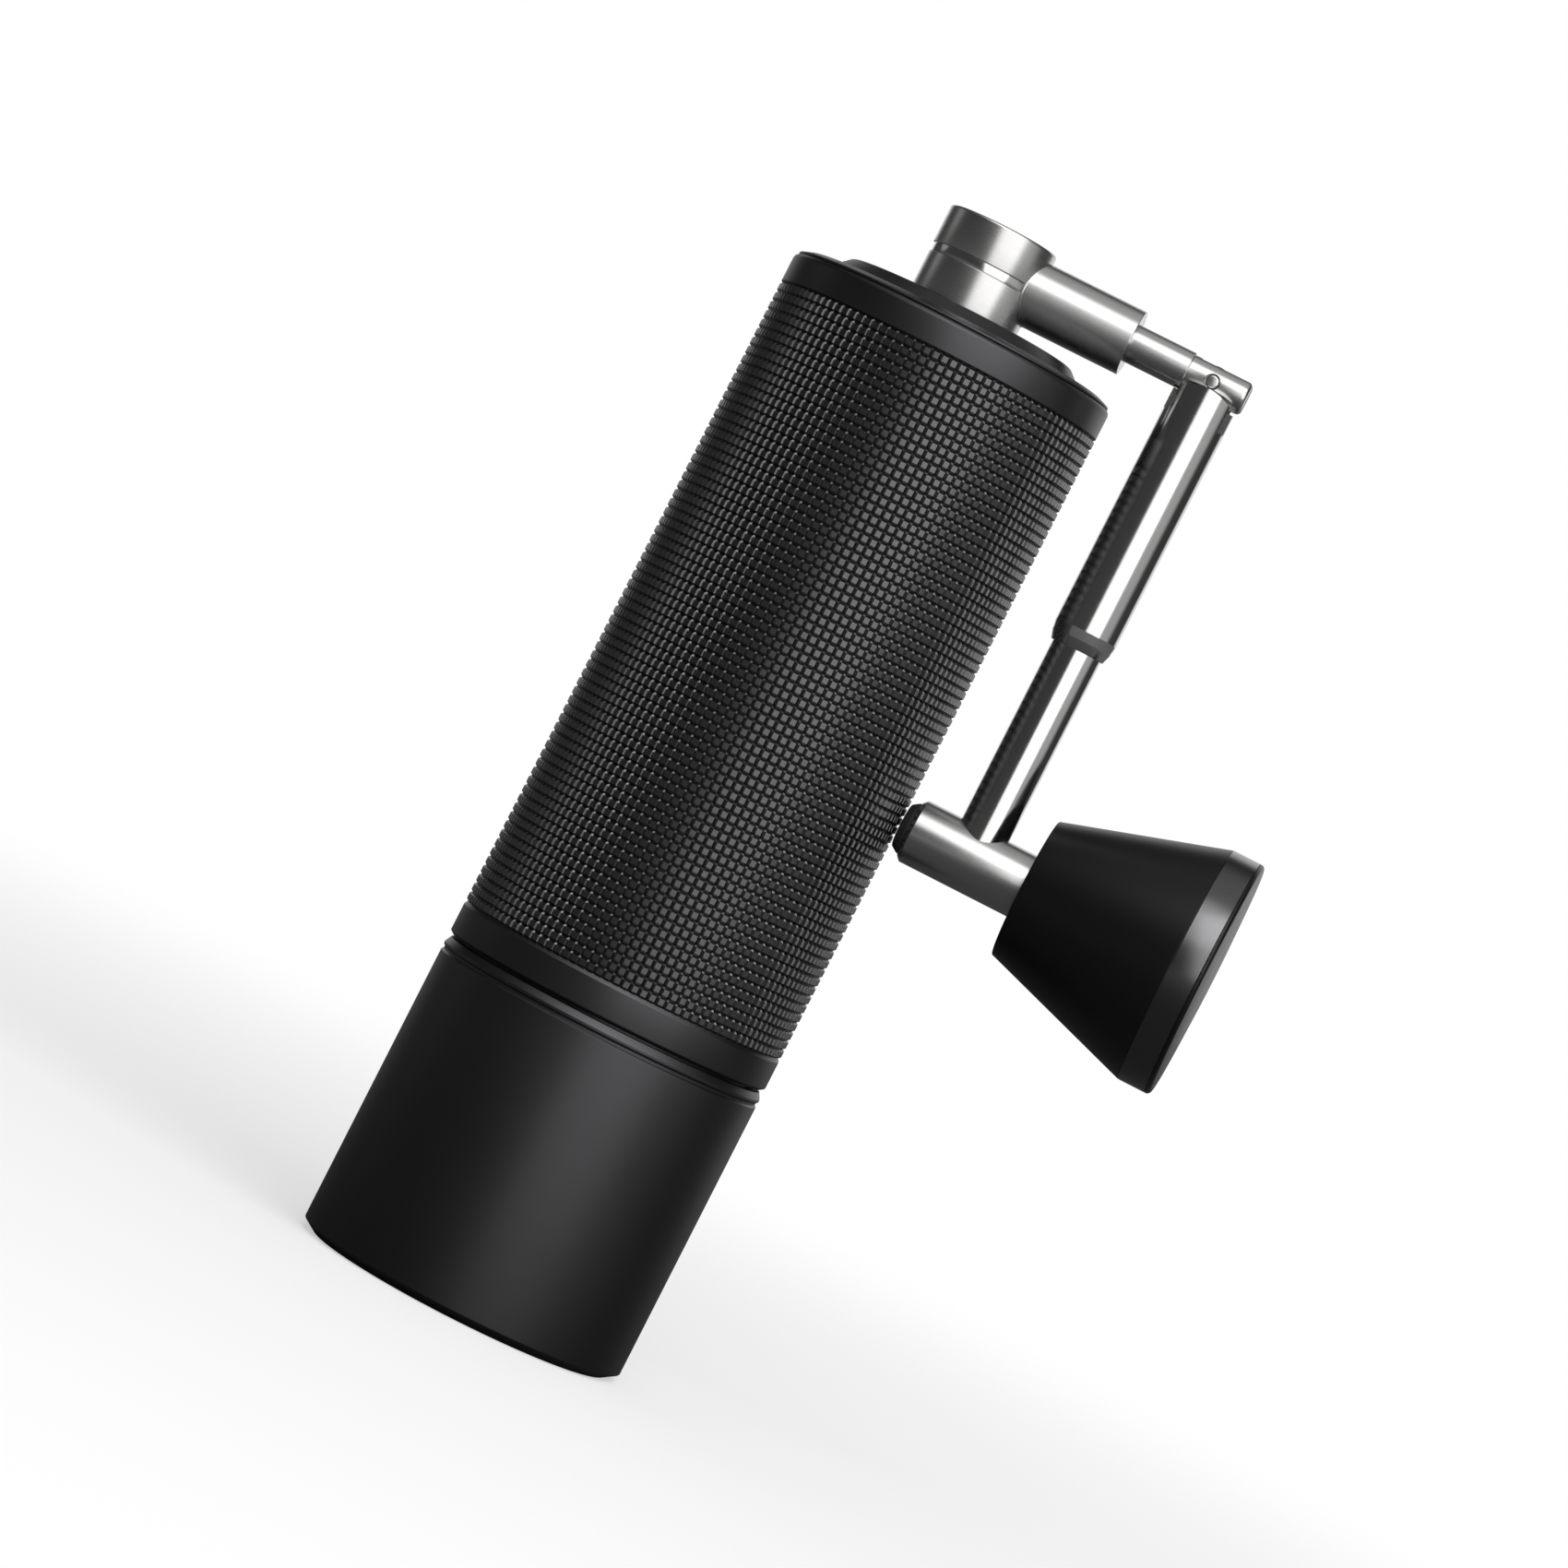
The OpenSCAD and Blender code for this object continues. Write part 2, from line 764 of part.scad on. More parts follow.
module click_balls() {
    color("#e4e6e8")
    for (a = [0, 180])
        rotate([0, 0, a])
        translate([click_r, 0, dial_top - click_ball_r])
        sphere(r = click_ball_r, $fn = 24);
}

// ---- Cup ----

module grounds_cup() {
    color("#232326")
    rotate_extrude()
    polygon(concat(
        [
            [0, 0],
            [foot_r, 0],
            [body_r, foot_chamfer_h],
            [body_r, cup_h - lip_groove_drop - lip_groove_w / 2],
            [body_r - lip_groove_d, cup_h - lip_groove_drop],
            [body_r, cup_h - lip_groove_drop + lip_groove_w / 2],
            [body_r, cup_h - lip_chamfer],
            [body_r - lip_chamfer, cup_h],
            [cup_in, cup_h]
        ],
        arc(cup_in - cup_fillet, cup_floor + cup_fillet, cup_fillet, 0, -90, 4),
        [[0, cup_floor]]
    ));
}

// ---- Lid ----

module lid_cap() {
    color("#2b2b2f")
    difference() {
        rotate_extrude()
        polygon(concat([
            [lid_bore, plate_z0],
            [plug_r - plug_wall, plate_z0],
            [plug_r - plug_wall, plug_z],
            [plug_r, plug_z],
            [plug_r, shell_top],
            [flange_r - edge, shell_top],
            [flange_r, shell_top + edge],
            [flange_r, flange_top - flange_bevel_h],
            [flange_r - flange_bevel_w, flange_top]
            ],
            arc(disc_foot_r, flange_top + disc_foot, disc_foot, 270, 270 - disc_pitch, 3),
            arc(disc_top_r, lid_top - disc_round, disc_round, 90 - disc_pitch, 90, 4),
            [[lid_bore, lid_top]]
        ));
        tube(gasket_z, gasket_z + gasket_h, plug_r + over, gasket_in - run_gap);
    }
}

module lid_gasket() {
    color("#d8d8d4")
    tube(gasket_z + run_gap, gasket_z + gasket_h - run_gap, gasket_out, gasket_in);
}

module lid_bush() {
    color("#c9b27a") tube(plate_z0, lid_top - end_gap, lid_bore - seat_gap, neck_r + run_gap);
}

// ---- Crank ----

module crank_hub() {
    color("#b4b6b8")
    difference() {
        union() {
            rotate_extrude()
            polygon(concat(
                [
                    [0, neck_bottom],
                    [neck_r, neck_bottom],
                    [neck_r, lid_top + run_gap],
                    [hub_foot_r - edge, lid_top + run_gap],
                    [hub_foot_r, lid_top + run_gap + edge],
                    [hub_foot_r, hub_groove_z],
                    [hub_r - hub_groove_d, hub_groove_z],
                    [hub_r - hub_groove_d, hub_groove_z + hub_groove_w],
                    [hub_r, hub_groove_z + hub_groove_w]
                ],
                arc(hub_r - hub_round, hub_top - hub_round, hub_round, 0, 90, 3),
                [[0, hub_top]]
            ));
            on_crank_axis()
                rotate_extrude()
                polygon([
                    [0, 0], [boss_r, 0], [boss_r, boss_end - edge], [boss_r - edge, boss_end], [0, boss_end]
                ]);
            on_crank_axis()
                rotate_extrude()
                polygon(concat(
                    [[0, hub_r - fillet_root], [boss_r + boss_fillet, hub_r - fillet_root]],
                    arc(boss_r + boss_fillet, hub_r + boss_fillet / 4, boss_fillet, 270, 180, 4),
                    [[0, hub_r + boss_fillet / 4]]
                ));
        }
        translate([0, 0, neck_bottom - over])
            cylinder(h = socket_top - neck_bottom + over, r = (hex_af + 2 * hex_gap) / sqrt(3), $fn = 6);
        on_crank_axis() translate([0, 0, rod_start - blind_gap]) cylinder(h = boss_end, r = rod_r + seat_gap);
        tube(clip_z - run_gap, clip_z + clip_t + run_gap, neck_r + over, neck_r - clip_bite);
    }
}

module hub_clip() {
    color("#3f4246") split_clip(clip_z, neck_r - clip_bite + seat_gap, neck_r - clip_bite + clip_w, clip_t);
}

module hinge_rod() {
    color("#bdbfc1")
    difference() {
        on_crank_axis()
        rotate_extrude()
        polygon(concat(
            [[0, rod_start], [rod_r, rod_start], [rod_r, shoulder_x], [barrel_r, shoulder_x]],
            arc(barrel_r - tip_round, tip_x - tip_round, tip_round, 0, 90, 4),
            [[0, tip_x]]
        ));
        translate([arm_x - fork_depth, -fork_slot / 2, axis_z - 2 * barrel_r])
            cube([barrel_l, fork_slot, 4 * barrel_r]);
        hinge_bore(seat_gap);
    }
}

module hinge_bore(gap) {
    translate([arm_x, tube_d, axis_z]) rotate([90, 0, 0]) cylinder(h = 2 * tube_d, r = pin_r + gap, $fn = 48);
}

module hinge_pin() {
    color("#d2d3d4")
    translate([arm_x, barrel_r - run_gap, axis_z])
    rotate([90, 0, 0])
    cylinder(h = barrel_d - 2 * run_gap, r = pin_r, $fn = 48);
}

// ---- Arm ----

// Tongue that fills the middle of the slot, with a round eye at the pin
module arm_tongue() {
    translate([arm_x, tongue_t / 2, axis_z]) rotate([90, 0, 0]) cylinder(h = tongue_t, r = eye_r);
    translate([arm_x - eye_r, -tongue_t / 2, axis_z - slot_depth]) cube([2 * eye_r, tongue_t, slot_depth]);
}

module arm_tube() {
    color("#a9abad")
    difference() {
        union() {
            difference() {
                intersection() {
                    translate([arm_x, 0, 0])
                        rotate_extrude()
                        polygon([
                            [0, taper_end],
                            [taper_d / 2 - edge, taper_end],
                            [taper_d / 2, taper_end + edge],
                            [(taper_d + tube_d) / 4 + taper_swell, (taper_z + taper_end) / 2],
                            [tube_r, taper_z],
                            [tube_r, axis_z],
                            [0, axis_z]
                        ]);
                    union() {
                        translate([arm_x, tube_d, axis_z - lobe_drop - lobe_r])
                            rotate([90, 0, 0])
                            cylinder(h = 2 * tube_d, r = lobe_r);
                        translate([arm_x - tube_d, -tube_d, taper_end - over])
                            cube([2 * tube_d, 2 * tube_d, axis_z - lobe_drop - lobe_r - taper_end + over]);
                    }
                }
                difference() {
                    translate([arm_x - tube_d, -slot_w / 2, axis_z - slot_depth])
                        cube([2 * tube_d, slot_w, slot_depth + over]);
                    translate([arm_x - tube_d - over, -tongue_t / 2, axis_z - slot_depth - over])
                        cube([2 * tube_d + 2 * over, tongue_t, slot_depth - tongue_step + over]);
                }
            }
            arm_tongue();
        }
        hinge_bore(run_gap);
        translate([arm_x, 0, taper_end - over])
            cylinder(h = arm_rod_top - taper_end + over, r = arm_rod_r + seat_gap);
    }
}

module arm_rod() {
    color("#afb1b3")
    difference() {
        translate([arm_x, 0, knob_z]) cylinder(h = arm_rod_top - blind_gap - knob_z, r = arm_rod_r);
        difference() {
            on_knob_axis() translate([0, 0, cross_x0]) cylinder(h = cross_inner * 2, r = cross_r + seat_gap);
            translate([arm_x, 0, spigot_end]) cylinder(h = cross_d, r = spigot_rod_r);
        }
    }
}

module cross_tube() {
    color("#b4b6b8")
    difference() {
        on_knob_axis()
        rotate_extrude()
        polygon([
            [0, cross_x0],
            [cross_r - cross_chamfer, cross_x0],
            [cross_r, cross_x0 + cross_chamfer],
            [cross_r, cross_x1],
            [0, cross_x1]
        ]);
        on_knob_axis()
            translate([0, 0, cross_x0 - over])
            cylinder(h = stem_l + over + blind_gap, r = stem_r + seat_gap);
        on_knob_axis() translate([0, 0, axle_x0 - blind_gap]) cylinder(h = cross_x1, r = axle_r + seat_gap);
        translate([arm_x, 0, spigot_end - blind_gap]) cylinder(h = cross_d, r = spigot_rod_r + seat_gap);
    }
}

module end_pad() {
    color("#1a1a1c")
    on_knob_axis()
    rotate_extrude()
    polygon(concat(
        [[0, pad_x0]],
        [
            for (a = [0:18:90])
                [pad_nose_r + (pad_base_r - pad_nose_r) * sin(a), pad_x0 + pad_l * (1 - cos(a))]
        ],
        [[pad_base_r, cross_x0], [stem_r, cross_x0], [stem_r, cross_x0 + stem_l], [0, cross_x0 + stem_l]]
    ));
}

// ---- Knob ----

module knob_axle() {
    color("#cfd2d5")
    on_knob_axis()
    union() {
        translate([0, 0, axle_x0]) cylinder(h = head_x - axle_x0 + join, r = axle_r);
        translate([0, 0, head_x]) cylinder(h = head_t, r = head_r);
    }
}

module knob_body() {
    color("#202023")
    on_knob_axis()
    rotate_extrude()
    polygon([
        [recess_r, knob_x0],
        [knob_small_r - knob_edge, knob_x0],
        [knob_small_r, knob_x0 + knob_edge],
        [knob_big_r - edge, knob_cone_x - knob_edge],
        [knob_big_r, knob_cone_x + edge],
        [knob_big_r, knob_x1 - knob_edge],
        [knob_big_r - knob_edge, knob_x1],
        [pocket_r, knob_x1],
        [pocket_r, pocket_x],
        [bush_out + seat_gap, pocket_x],
        [bush_out + seat_gap, knob_x0 + knob_recess],
        [recess_r, knob_x0 + knob_recess]
    ]);
}

module knob_bushes() {
    color("#d9d4c4")
    on_knob_axis()
    for (x = [knob_x0 + knob_recess + end_gap, pocket_x - bush_l - end_gap])
        tube(x, x + bush_l, bush_out, axle_r + run_gap);
}

module knob_cap() {
    edge_x = cap_end - cap_dome_r + sqrt(pow(cap_dome_r - cap_round, 2) - pow(cap_r - cap_round, 2));
    tilt = asin((cap_r - cap_round) / (cap_dome_r - cap_round));
    color("#1d1d20")
    on_knob_axis()
    rotate_extrude()
    polygon(concat(
        [
            [0, knob_x1 - cap_pin_l],
            [pocket_r - seat_gap, knob_x1 - cap_pin_l],
            [pocket_r - seat_gap, knob_x1],
            [cap_r - knob_edge - edge, knob_x1],
            [cap_r - knob_edge, knob_x1 + knob_seam]
        ],
        arc(cap_r - cap_round, edge_x, cap_round, 0, 90 - tilt, 5),
        arc(0, cap_end - cap_dome_r, cap_dome_r, 90 - tilt, 90, 4)
    ));
}

body_shell();
hopper_liner();
upper_bracket();
upper_outer_race();
upper_balls();
lower_bracket();
lower_outer_race();
lower_balls();
mill_housing();
outer_burr();
burr_screws();
neck_seal();
lid_cap();
lid_gasket();
lid_bush();
crank_hub();
hub_clip();
hinge_rod();
hinge_pin();
arm_tube();
arm_rod();
cross_tube();
end_pad();
knob_axle();
knob_body();
knob_cap();
knob_bushes();
drive_shaft();
shaft_clip();
end_stop();
upper_inner_race();
lower_inner_race();
inner_burr();
burr_spring();
click_plate();
adjust_dial();
click_balls();
grounds_cup();
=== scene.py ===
import bpy
import json
import math
from mathutils import Matrix, Vector


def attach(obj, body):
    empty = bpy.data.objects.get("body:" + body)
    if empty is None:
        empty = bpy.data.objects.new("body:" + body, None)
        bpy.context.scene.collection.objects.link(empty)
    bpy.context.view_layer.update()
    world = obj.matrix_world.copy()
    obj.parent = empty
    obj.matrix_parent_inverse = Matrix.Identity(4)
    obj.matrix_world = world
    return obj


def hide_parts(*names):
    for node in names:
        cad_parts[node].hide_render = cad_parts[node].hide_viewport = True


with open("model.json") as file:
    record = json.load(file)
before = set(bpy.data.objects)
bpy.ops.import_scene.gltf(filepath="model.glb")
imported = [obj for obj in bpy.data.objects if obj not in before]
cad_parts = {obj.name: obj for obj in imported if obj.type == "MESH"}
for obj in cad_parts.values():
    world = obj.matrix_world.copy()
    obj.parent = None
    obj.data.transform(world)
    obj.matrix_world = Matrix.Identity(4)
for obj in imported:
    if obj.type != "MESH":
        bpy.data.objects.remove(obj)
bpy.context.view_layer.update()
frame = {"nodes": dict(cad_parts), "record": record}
nodes = frame["nodes"]
mm = 0.001
quarterTurn = math.pi / 2
print("frame loaded")


def clearSelection():
    if bpy.context.object and bpy.context.object.mode != "OBJECT":
        bpy.ops.object.mode_set(mode="OBJECT")
    bpy.ops.object.select_all(action="DESELECT")


def pick(piece):
    clearSelection()
    piece.select_set(True)
    bpy.context.view_layer.objects.active = piece


def place(piece):
    pick(piece)
    bpy.ops.object.transform_apply(location=True, rotation=True, scale=True)


def addModifier(piece, kind, **settings):
    pick(piece)
    modifier = piece.modifiers.new(kind.lower(), kind)
    for key, value in settings.items():
        setattr(modifier, key, value)
    bpy.ops.object.modifier_apply(modifier=modifier.name)


def tidyMesh(piece, smoothAngle=35, merge=0.002):
    pick(piece)
    bpy.ops.object.mode_set(mode="EDIT")
    bpy.ops.mesh.select_all(action="SELECT")
    bpy.ops.mesh.remove_doubles(threshold=merge * mm)
    bpy.ops.mesh.normals_make_consistent(inside=False)
    bpy.ops.object.mode_set(mode="OBJECT")
    bpy.ops.object.shade_smooth_by_angle(angle=math.radians(smoothAngle))


def finishPiece(piece, material, body, *replaced, slot=None):
    piece.data.materials.clear()
    piece.data.materials.append(materials[material])
    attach(piece, body)
    if replaced:
        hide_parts(*replaced)


def joinPieces(parts):
    clearSelection()
    for part in parts:
        part.select_set(True)
    bpy.context.view_layer.objects.active = parts[0]
    bpy.ops.object.join()
    return parts[0]


# Takes a cutter away from a piece, or adds it, and throws the cutter away
def cut(piece, cutter, operation="DIFFERENCE"):
    addModifier(piece, "BOOLEAN", operation=operation, object=cutter, solver="EXACT")
    bpy.data.objects.remove(cutter)


def block(name, size, middle):
    clearSelection()
    bpy.ops.mesh.primitive_cube_add(size=1, location=Vector(middle) * mm)
    piece = bpy.context.object
    piece.name = name
    piece.scale = Vector(size) * mm
    place(piece)
    return piece


def prism(name, sides, radius, depth, middle, turn=(0, 0, 0)):
    clearSelection()
    bpy.ops.mesh.primitive_cylinder_add(
        vertices=sides, radius=radius * mm, depth=depth * mm, location=Vector(middle) * mm, rotation=turn
    )
    piece = bpy.context.object
    piece.name = name
    place(piece)
    return piece


# A fine bevel on the sharp edges that the cuts left
def softenEdges(piece, width, sharpAngle=38, merge=0.0005):
    tidyMesh(piece)
    addModifier(
        piece, "BEVEL", width=width * mm, segments=2,
        limit_method="ANGLE", angle_limit=math.radians(sharpAngle),
    )
    tidyMesh(piece, merge=merge)


# Rounds the corners of an outline: each point is (radius, height) or (radius, height, rounding)
def roundedOutline(points, steps):
    outline = []
    for i, point in enumerate(points):
        here = Vector(point[:2])
        rounding = point[2] if len(point) > 2 else 0
        if not rounding:
            outline.append(here)
            continue
        before = (Vector(points[i - 1][:2]) - here).normalized()
        after = (Vector(points[(i + 1) % len(points)][:2]) - here).normalized()
        half = before.angle(after) / 2
        centre = here + (before + after).normalized() * rounding / math.sin(half)
        start = here + before * rounding / math.tan(half) - centre
        end = here + after * rounding / math.tan(half) - centre
        turn = start.angle_signed(end)
        for k in range(steps + 1):
            a = -turn * k / steps
            outline.append(centre + Vector((
                start.x * math.cos(a) - start.y * math.sin(a),
                start.x * math.sin(a) + start.y * math.cos(a),
            )))
    return outline


# Turns an outline of (radius, height) in millimetres round an axis that stands at origin
def turnPiece(name, points, steps=128, origin=(0, 0, 0), along="Z", rounding=4):
    outline = roundedOutline(points, rounding)
    clearSelection()
    bpy.ops.mesh.primitive_plane_add(size=mm, location=(outline[0].x * mm, 0, outline[0].y * mm))
    piece = bpy.context.object
    piece.name = name
    bpy.ops.object.transform_apply(location=True)
    bpy.ops.object.mode_set(mode="EDIT")
    bpy.ops.mesh.select_all(action="SELECT")
    bpy.ops.mesh.merge(type="CENTER")
    for here, there in zip(outline, outline[1:] + outline[:1]):
        step = ((there.x - here.x) * mm, 0, (there.y - here.y) * mm)
        bpy.ops.mesh.extrude_vertices_move(TRANSFORM_OT_translate={"value": step})
    bpy.ops.mesh.select_all(action="SELECT")
    bpy.ops.mesh.spin(steps=steps, angle=math.tau, center=(0, 0, 0), axis=(0, 0, 1))
    bpy.ops.object.mode_set(mode="OBJECT")
    if along == "X":
        piece.rotation_euler = (0, quarterTurn, 0)
    piece.location = Vector(origin) * mm
    place(piece)
    return piece


# How coarse the cloudiness, the grain and the machining lines are
grain = {
    "cloud": 46.0, "cloudDetail": 4.0, "fineDetail": 3.0,
    "smear": 120.0, "smearDetail": 3.0, "lineDetail": 4.0, "lineRoughness": 0.62,
}
socketNames = {"metallic": "Metallic", "specular": "Specular IOR Level"}
colourMixSockets = {"first": 6, "second": 7, "result": 2}  # a Mix node has one set for each data type


def newMaterial(name, **sockets):
    material = bpy.data.materials.new(name)
    material.use_nodes = True
    shader = material.node_tree.nodes["Principled BSDF"]
    for socket, value in sockets.items():
        shader.inputs[socketNames[socket]].default_value = value
    return material


def addNode(tree, kind, links=(), **settings):
    node = tree.nodes.new(kind)
    for key, value in settings.items():
        if hasattr(node, key):
            setattr(node, key, value)
        else:
            node.inputs[key.replace("_", " ")].default_value = value
    for source, target in links:
        tree.links.new(source, node.inputs[target])
    return node


def objectPoint(tree, scale=(1, 1, 1)):
    point = addNode(tree, "ShaderNodeTexCoord").outputs["Object"]
    return addNode(tree, "ShaderNodeMapping", [(point, "Vector")], Scale=scale).outputs["Vector"]


def noise(tree, point, **settings):
    return addNode(tree, "ShaderNodeTexNoise", [(point, "Vector")], **settings).outputs["Fac"]


def colourMix(tree, factor, first, second):
    mix = addNode(tree, "ShaderNodeMix", [(factor, 0)], data_type="RGBA")
    mix.inputs[colourMixSockets["first"]].default_value = (*first, 1)
    mix.inputs[colourMixSockets["second"]].default_value = (*second, 1)
    return mix.outputs[colourMixSockets["result"]]


def vary(tree, factor, low, high):
    return addNode(tree, "ShaderNodeMapRange", [(factor, "Value")], To_Min=low, To_Max=high).outputs["Result"]


def bumpFrom(tree, height, strength, distance):
    bump = addNode(tree, "ShaderNodeBump", [(height, "Height")], Strength=strength, Distance=distance * mm)
    return bump.outputs["Normal"]


def dress(material, colour, roughness, normal):
    shader = material.node_tree.nodes["Principled BSDF"]
    for socket, output in (("Base Color", colour), ("Roughness", roughness), ("Normal", normal)):
        material.node_tree.links.new(output, shader.inputs[socket])
    return material


# Fine blasted grain, broad cloudiness in the gloss, and a little colour drift
def blastedFinish(name, colour, lighter, roughness, grainScale, bump, **sockets):
    material = newMaterial(name, **sockets)
    tree = material.node_tree
    point = objectPoint(tree)
    fine = noise(tree, point, Scale=grainScale, Detail=grain["fineDetail"])
    cloud = noise(tree, point, Scale=grain["cloud"], Detail=grain["cloudDetail"])
    return dress(
        material, colourMix(tree, cloud, colour, lighter), vary(tree, cloud, *roughness),
        bumpFrom(tree, fine, *bump),
    )


# Lathe-turned or drawn metal: fine lines squeezed along one axis
def linedMetal(name, colour, roughness, lines, bump, spread=0.03):
    material = newMaterial(name, metallic=1.0)
    tree = material.node_tree
    line = noise(
        tree, objectPoint(tree, lines),
        Scale=1.0, Detail=grain["lineDetail"], Roughness=grain["lineRoughness"],
    )
    smear = noise(tree, objectPoint(tree), Scale=grain["smear"], Detail=grain["smearDetail"])
    darker = [c * (1 - spread) for c in colour]
    return dress(
        material, colourMix(tree, smear, colour, darker), vary(tree, line, *roughness),
        bumpFrom(tree, line, *bump),
    )


# Blasted finishes: colour, lighter colour, roughness range, grain scale, (bump, its depth in mm)
# Lined metals: colour, roughness range, line scale along each axis, (bump, its depth in mm)
steelLight = (0.64, 0.635, 0.63)
fineLines = (0.2, 0.003)
materials = {
    "black_anodised": blastedFinish(
        "blackAnodised", (0.078, 0.078, 0.081), (0.094, 0.093, 0.097), (0.38, 0.45), 5200,
        (0.3, 0.004), metallic=1.0,
    ),
    # Painted highlight: the grip gets a lighter, glossier copy of black anodised, though its metal is the
    # same as the bands
    "grip_black_painted_highlight": blastedFinish(
        "gripBlackPaintedHighlight", (0.116, 0.116, 0.119), (0.139, 0.138, 0.142), (0.29, 0.35), 5200,
        (0.3, 0.004), metallic=1.0,
    ),
    "knob_black": blastedFinish(
        "knobBlack", (0.0028, 0.0028, 0.003), (0.0038, 0.0038, 0.004), (0.34, 0.42), 3800,
        (0.45, 0.012), specular=0.4,
    ),
    "rubber_black": blastedFinish(
        "rubberBlack", (0.016, 0.016, 0.016), (0.022, 0.022, 0.022), (0.62, 0.75), 2600, (0.5, 0.02)
    ),
    "silicone": blastedFinish(
        "sealSilicone", (0.55, 0.55, 0.52), (0.62, 0.62, 0.6), (0.5, 0.6), 1500, (0.2, 0.01)
    ),
    "aluminium": blastedFinish(
        "plainAluminium", (0.60, 0.61, 0.62), (0.66, 0.66, 0.67), (0.34, 0.42), 4200,
        (0.4, 0.008), metallic=1.0,
    ),
    "dial_black": blastedFinish(
        "dialBlack", (0.022, 0.022, 0.024), (0.03, 0.03, 0.032), (0.38, 0.46), 4200, (0.4, 0.012)
    ),
    "bush_nylon": blastedFinish(
        "bushNylon", (0.62, 0.58, 0.45), (0.68, 0.64, 0.5), (0.42, 0.5), 1200, (0.2, 0.01)
    ),
    "rim_black": linedMetal("rimBlack", (0.155, 0.155, 0.158), (0.19, 0.27), (7000, 200, 200), fineLines),
    "satin_steel": linedMetal("satinSteel", steelLight, (0.22, 0.30), (2500, 2500, 2500), fineLines),
    "hub_steel": linedMetal("turnedSteel", steelLight, (0.24, 0.33), (300, 300, 7000), (0.25, 0.004)),
    "rod_steel": linedMetal("rodSteel", steelLight, (0.20, 0.29), (7000, 300, 300), fineLines),
    "tube_steel": linedMetal("tubeSteel", steelLight, (0.12, 0.20), (500, 500, 6000), fineLines),
    "bright_steel": linedMetal("drawnSteel", (0.68, 0.675, 0.67), (0.12, 0.2), (9000, 9000, 300), fineLines),
    "ball_chrome": linedMetal("ballChrome", (0.78, 0.78, 0.78), (0.05, 0.08), (600, 600, 600), (0.05, 0.001)),
    "burr_steel": linedMetal("burrSteel", (0.42, 0.42, 0.43), (0.28, 0.4), (3000, 3000, 9000), (0.4, 0.006)),
    "spring_steel": linedMetal("springSteel", (0.55, 0.56, 0.57), (0.2, 0.3), (9000, 9000, 9000), fineLines),
}
print("materials made")


# CAD pieces that keep their shape
for part in frame["record"]["subparts"]:
    node = nodes[part["node"]]
    node.data.materials.clear()
    node.data.materials.append(materials[part["material_slot"]])
print("CAD pieces dressed")


# Knurled grip between two plain bands, with a thin wall behind it
grip = {
    "radius": 26.5, "bottom": 54.5, "top": 158.6, "rows": 69, "columns": 115,
    "grooveWidth": 0.60, "grooveDepth": 0.36, "padSteps": (4, 3), "smoothAngle": 24, "merge": 0.01,
}
bands = {
    "inside": 23.5, "shoulder": 1.2, "wall": 25.3, "steps": 230,
    "foot": 49.05, "footWidth": 0.6, "footHeight": 0.45, "footEdge": 0.2,
    "gripEdge": 0.14, "gripDrop": 0.6, "ringRise": 0.28, "ringEdge": 0.12,
    "top": 163.6, "topEdge": 0.9, "insideEdge": 0.3, "edge": 0.1,
}


# One pad with half a groove on every side, then a column of them, then the whole ring
def buildGrip():
    pitchZ = (grip["top"] - grip["bottom"]) / grip["rows"]
    turn = math.tau / grip["columns"]
    pitchY = grip["radius"] * turn
    middle = (grip["bottom"] + pitchZ / 2) * mm
    clearSelection()
    bpy.ops.mesh.primitive_grid_add(
        x_subdivisions=grip["padSteps"][0], y_subdivisions=grip["padSteps"][1], size=1,
        rotation=(quarterTurn, 0, quarterTurn), location=(grip["radius"] * mm, 0, middle),
    )
    pad = bpy.context.object
    pad.name = "knurled_grip"
    pad.scale = (pitchY * mm, pitchZ * mm, 1)
    place(pad)
    halfY, halfZ = pitchY / 2 * mm, pitchZ / 2 * mm
    flatY, flatZ = halfY - grip["grooveWidth"] / 2 * mm, halfZ - grip["grooveWidth"] / 2 * mm
    nearEdge, tiny = 0.99, 1e-6
    for vertex in pad.data.vertices:
        y, z = vertex.co.y, vertex.co.z - middle
        edgeY, edgeZ = abs(y) > halfY * nearEdge, abs(z) > halfZ * nearEdge
        y = y if edgeY else flatY * (y > tiny) - flatY * (y < -tiny)
        z = z if edgeZ else flatZ * (1 if z > 0 else -1)
        a = y / (grip["radius"] * mm)
        r = (grip["radius"] - (grip["grooveDepth"] if edgeY or edgeZ else 0)) * mm
        vertex.co = (r * math.cos(a), r * math.sin(a), middle + z)
    merging = {"use_merge_vertices": True, "merge_threshold": grip["merge"] * mm}
    addModifier(
        pad, "ARRAY", count=grip["rows"], use_relative_offset=False, use_constant_offset=True,
        constant_offset_displace=(0, 0, pitchZ * mm), **merging,
    )
    pivot = bpy.data.objects.new("pivot", None)
    bpy.context.collection.objects.link(pivot)
    pivot.rotation_euler = (0, 0, turn)
    bpy.context.view_layer.update()
    addModifier(
        pad, "ARRAY", count=grip["columns"], use_relative_offset=False, use_object_offset=True,
        offset_object=pivot, use_merge_vertices_cap=True, **merging,
    )
    bpy.data.objects.remove(pivot)
    return pad


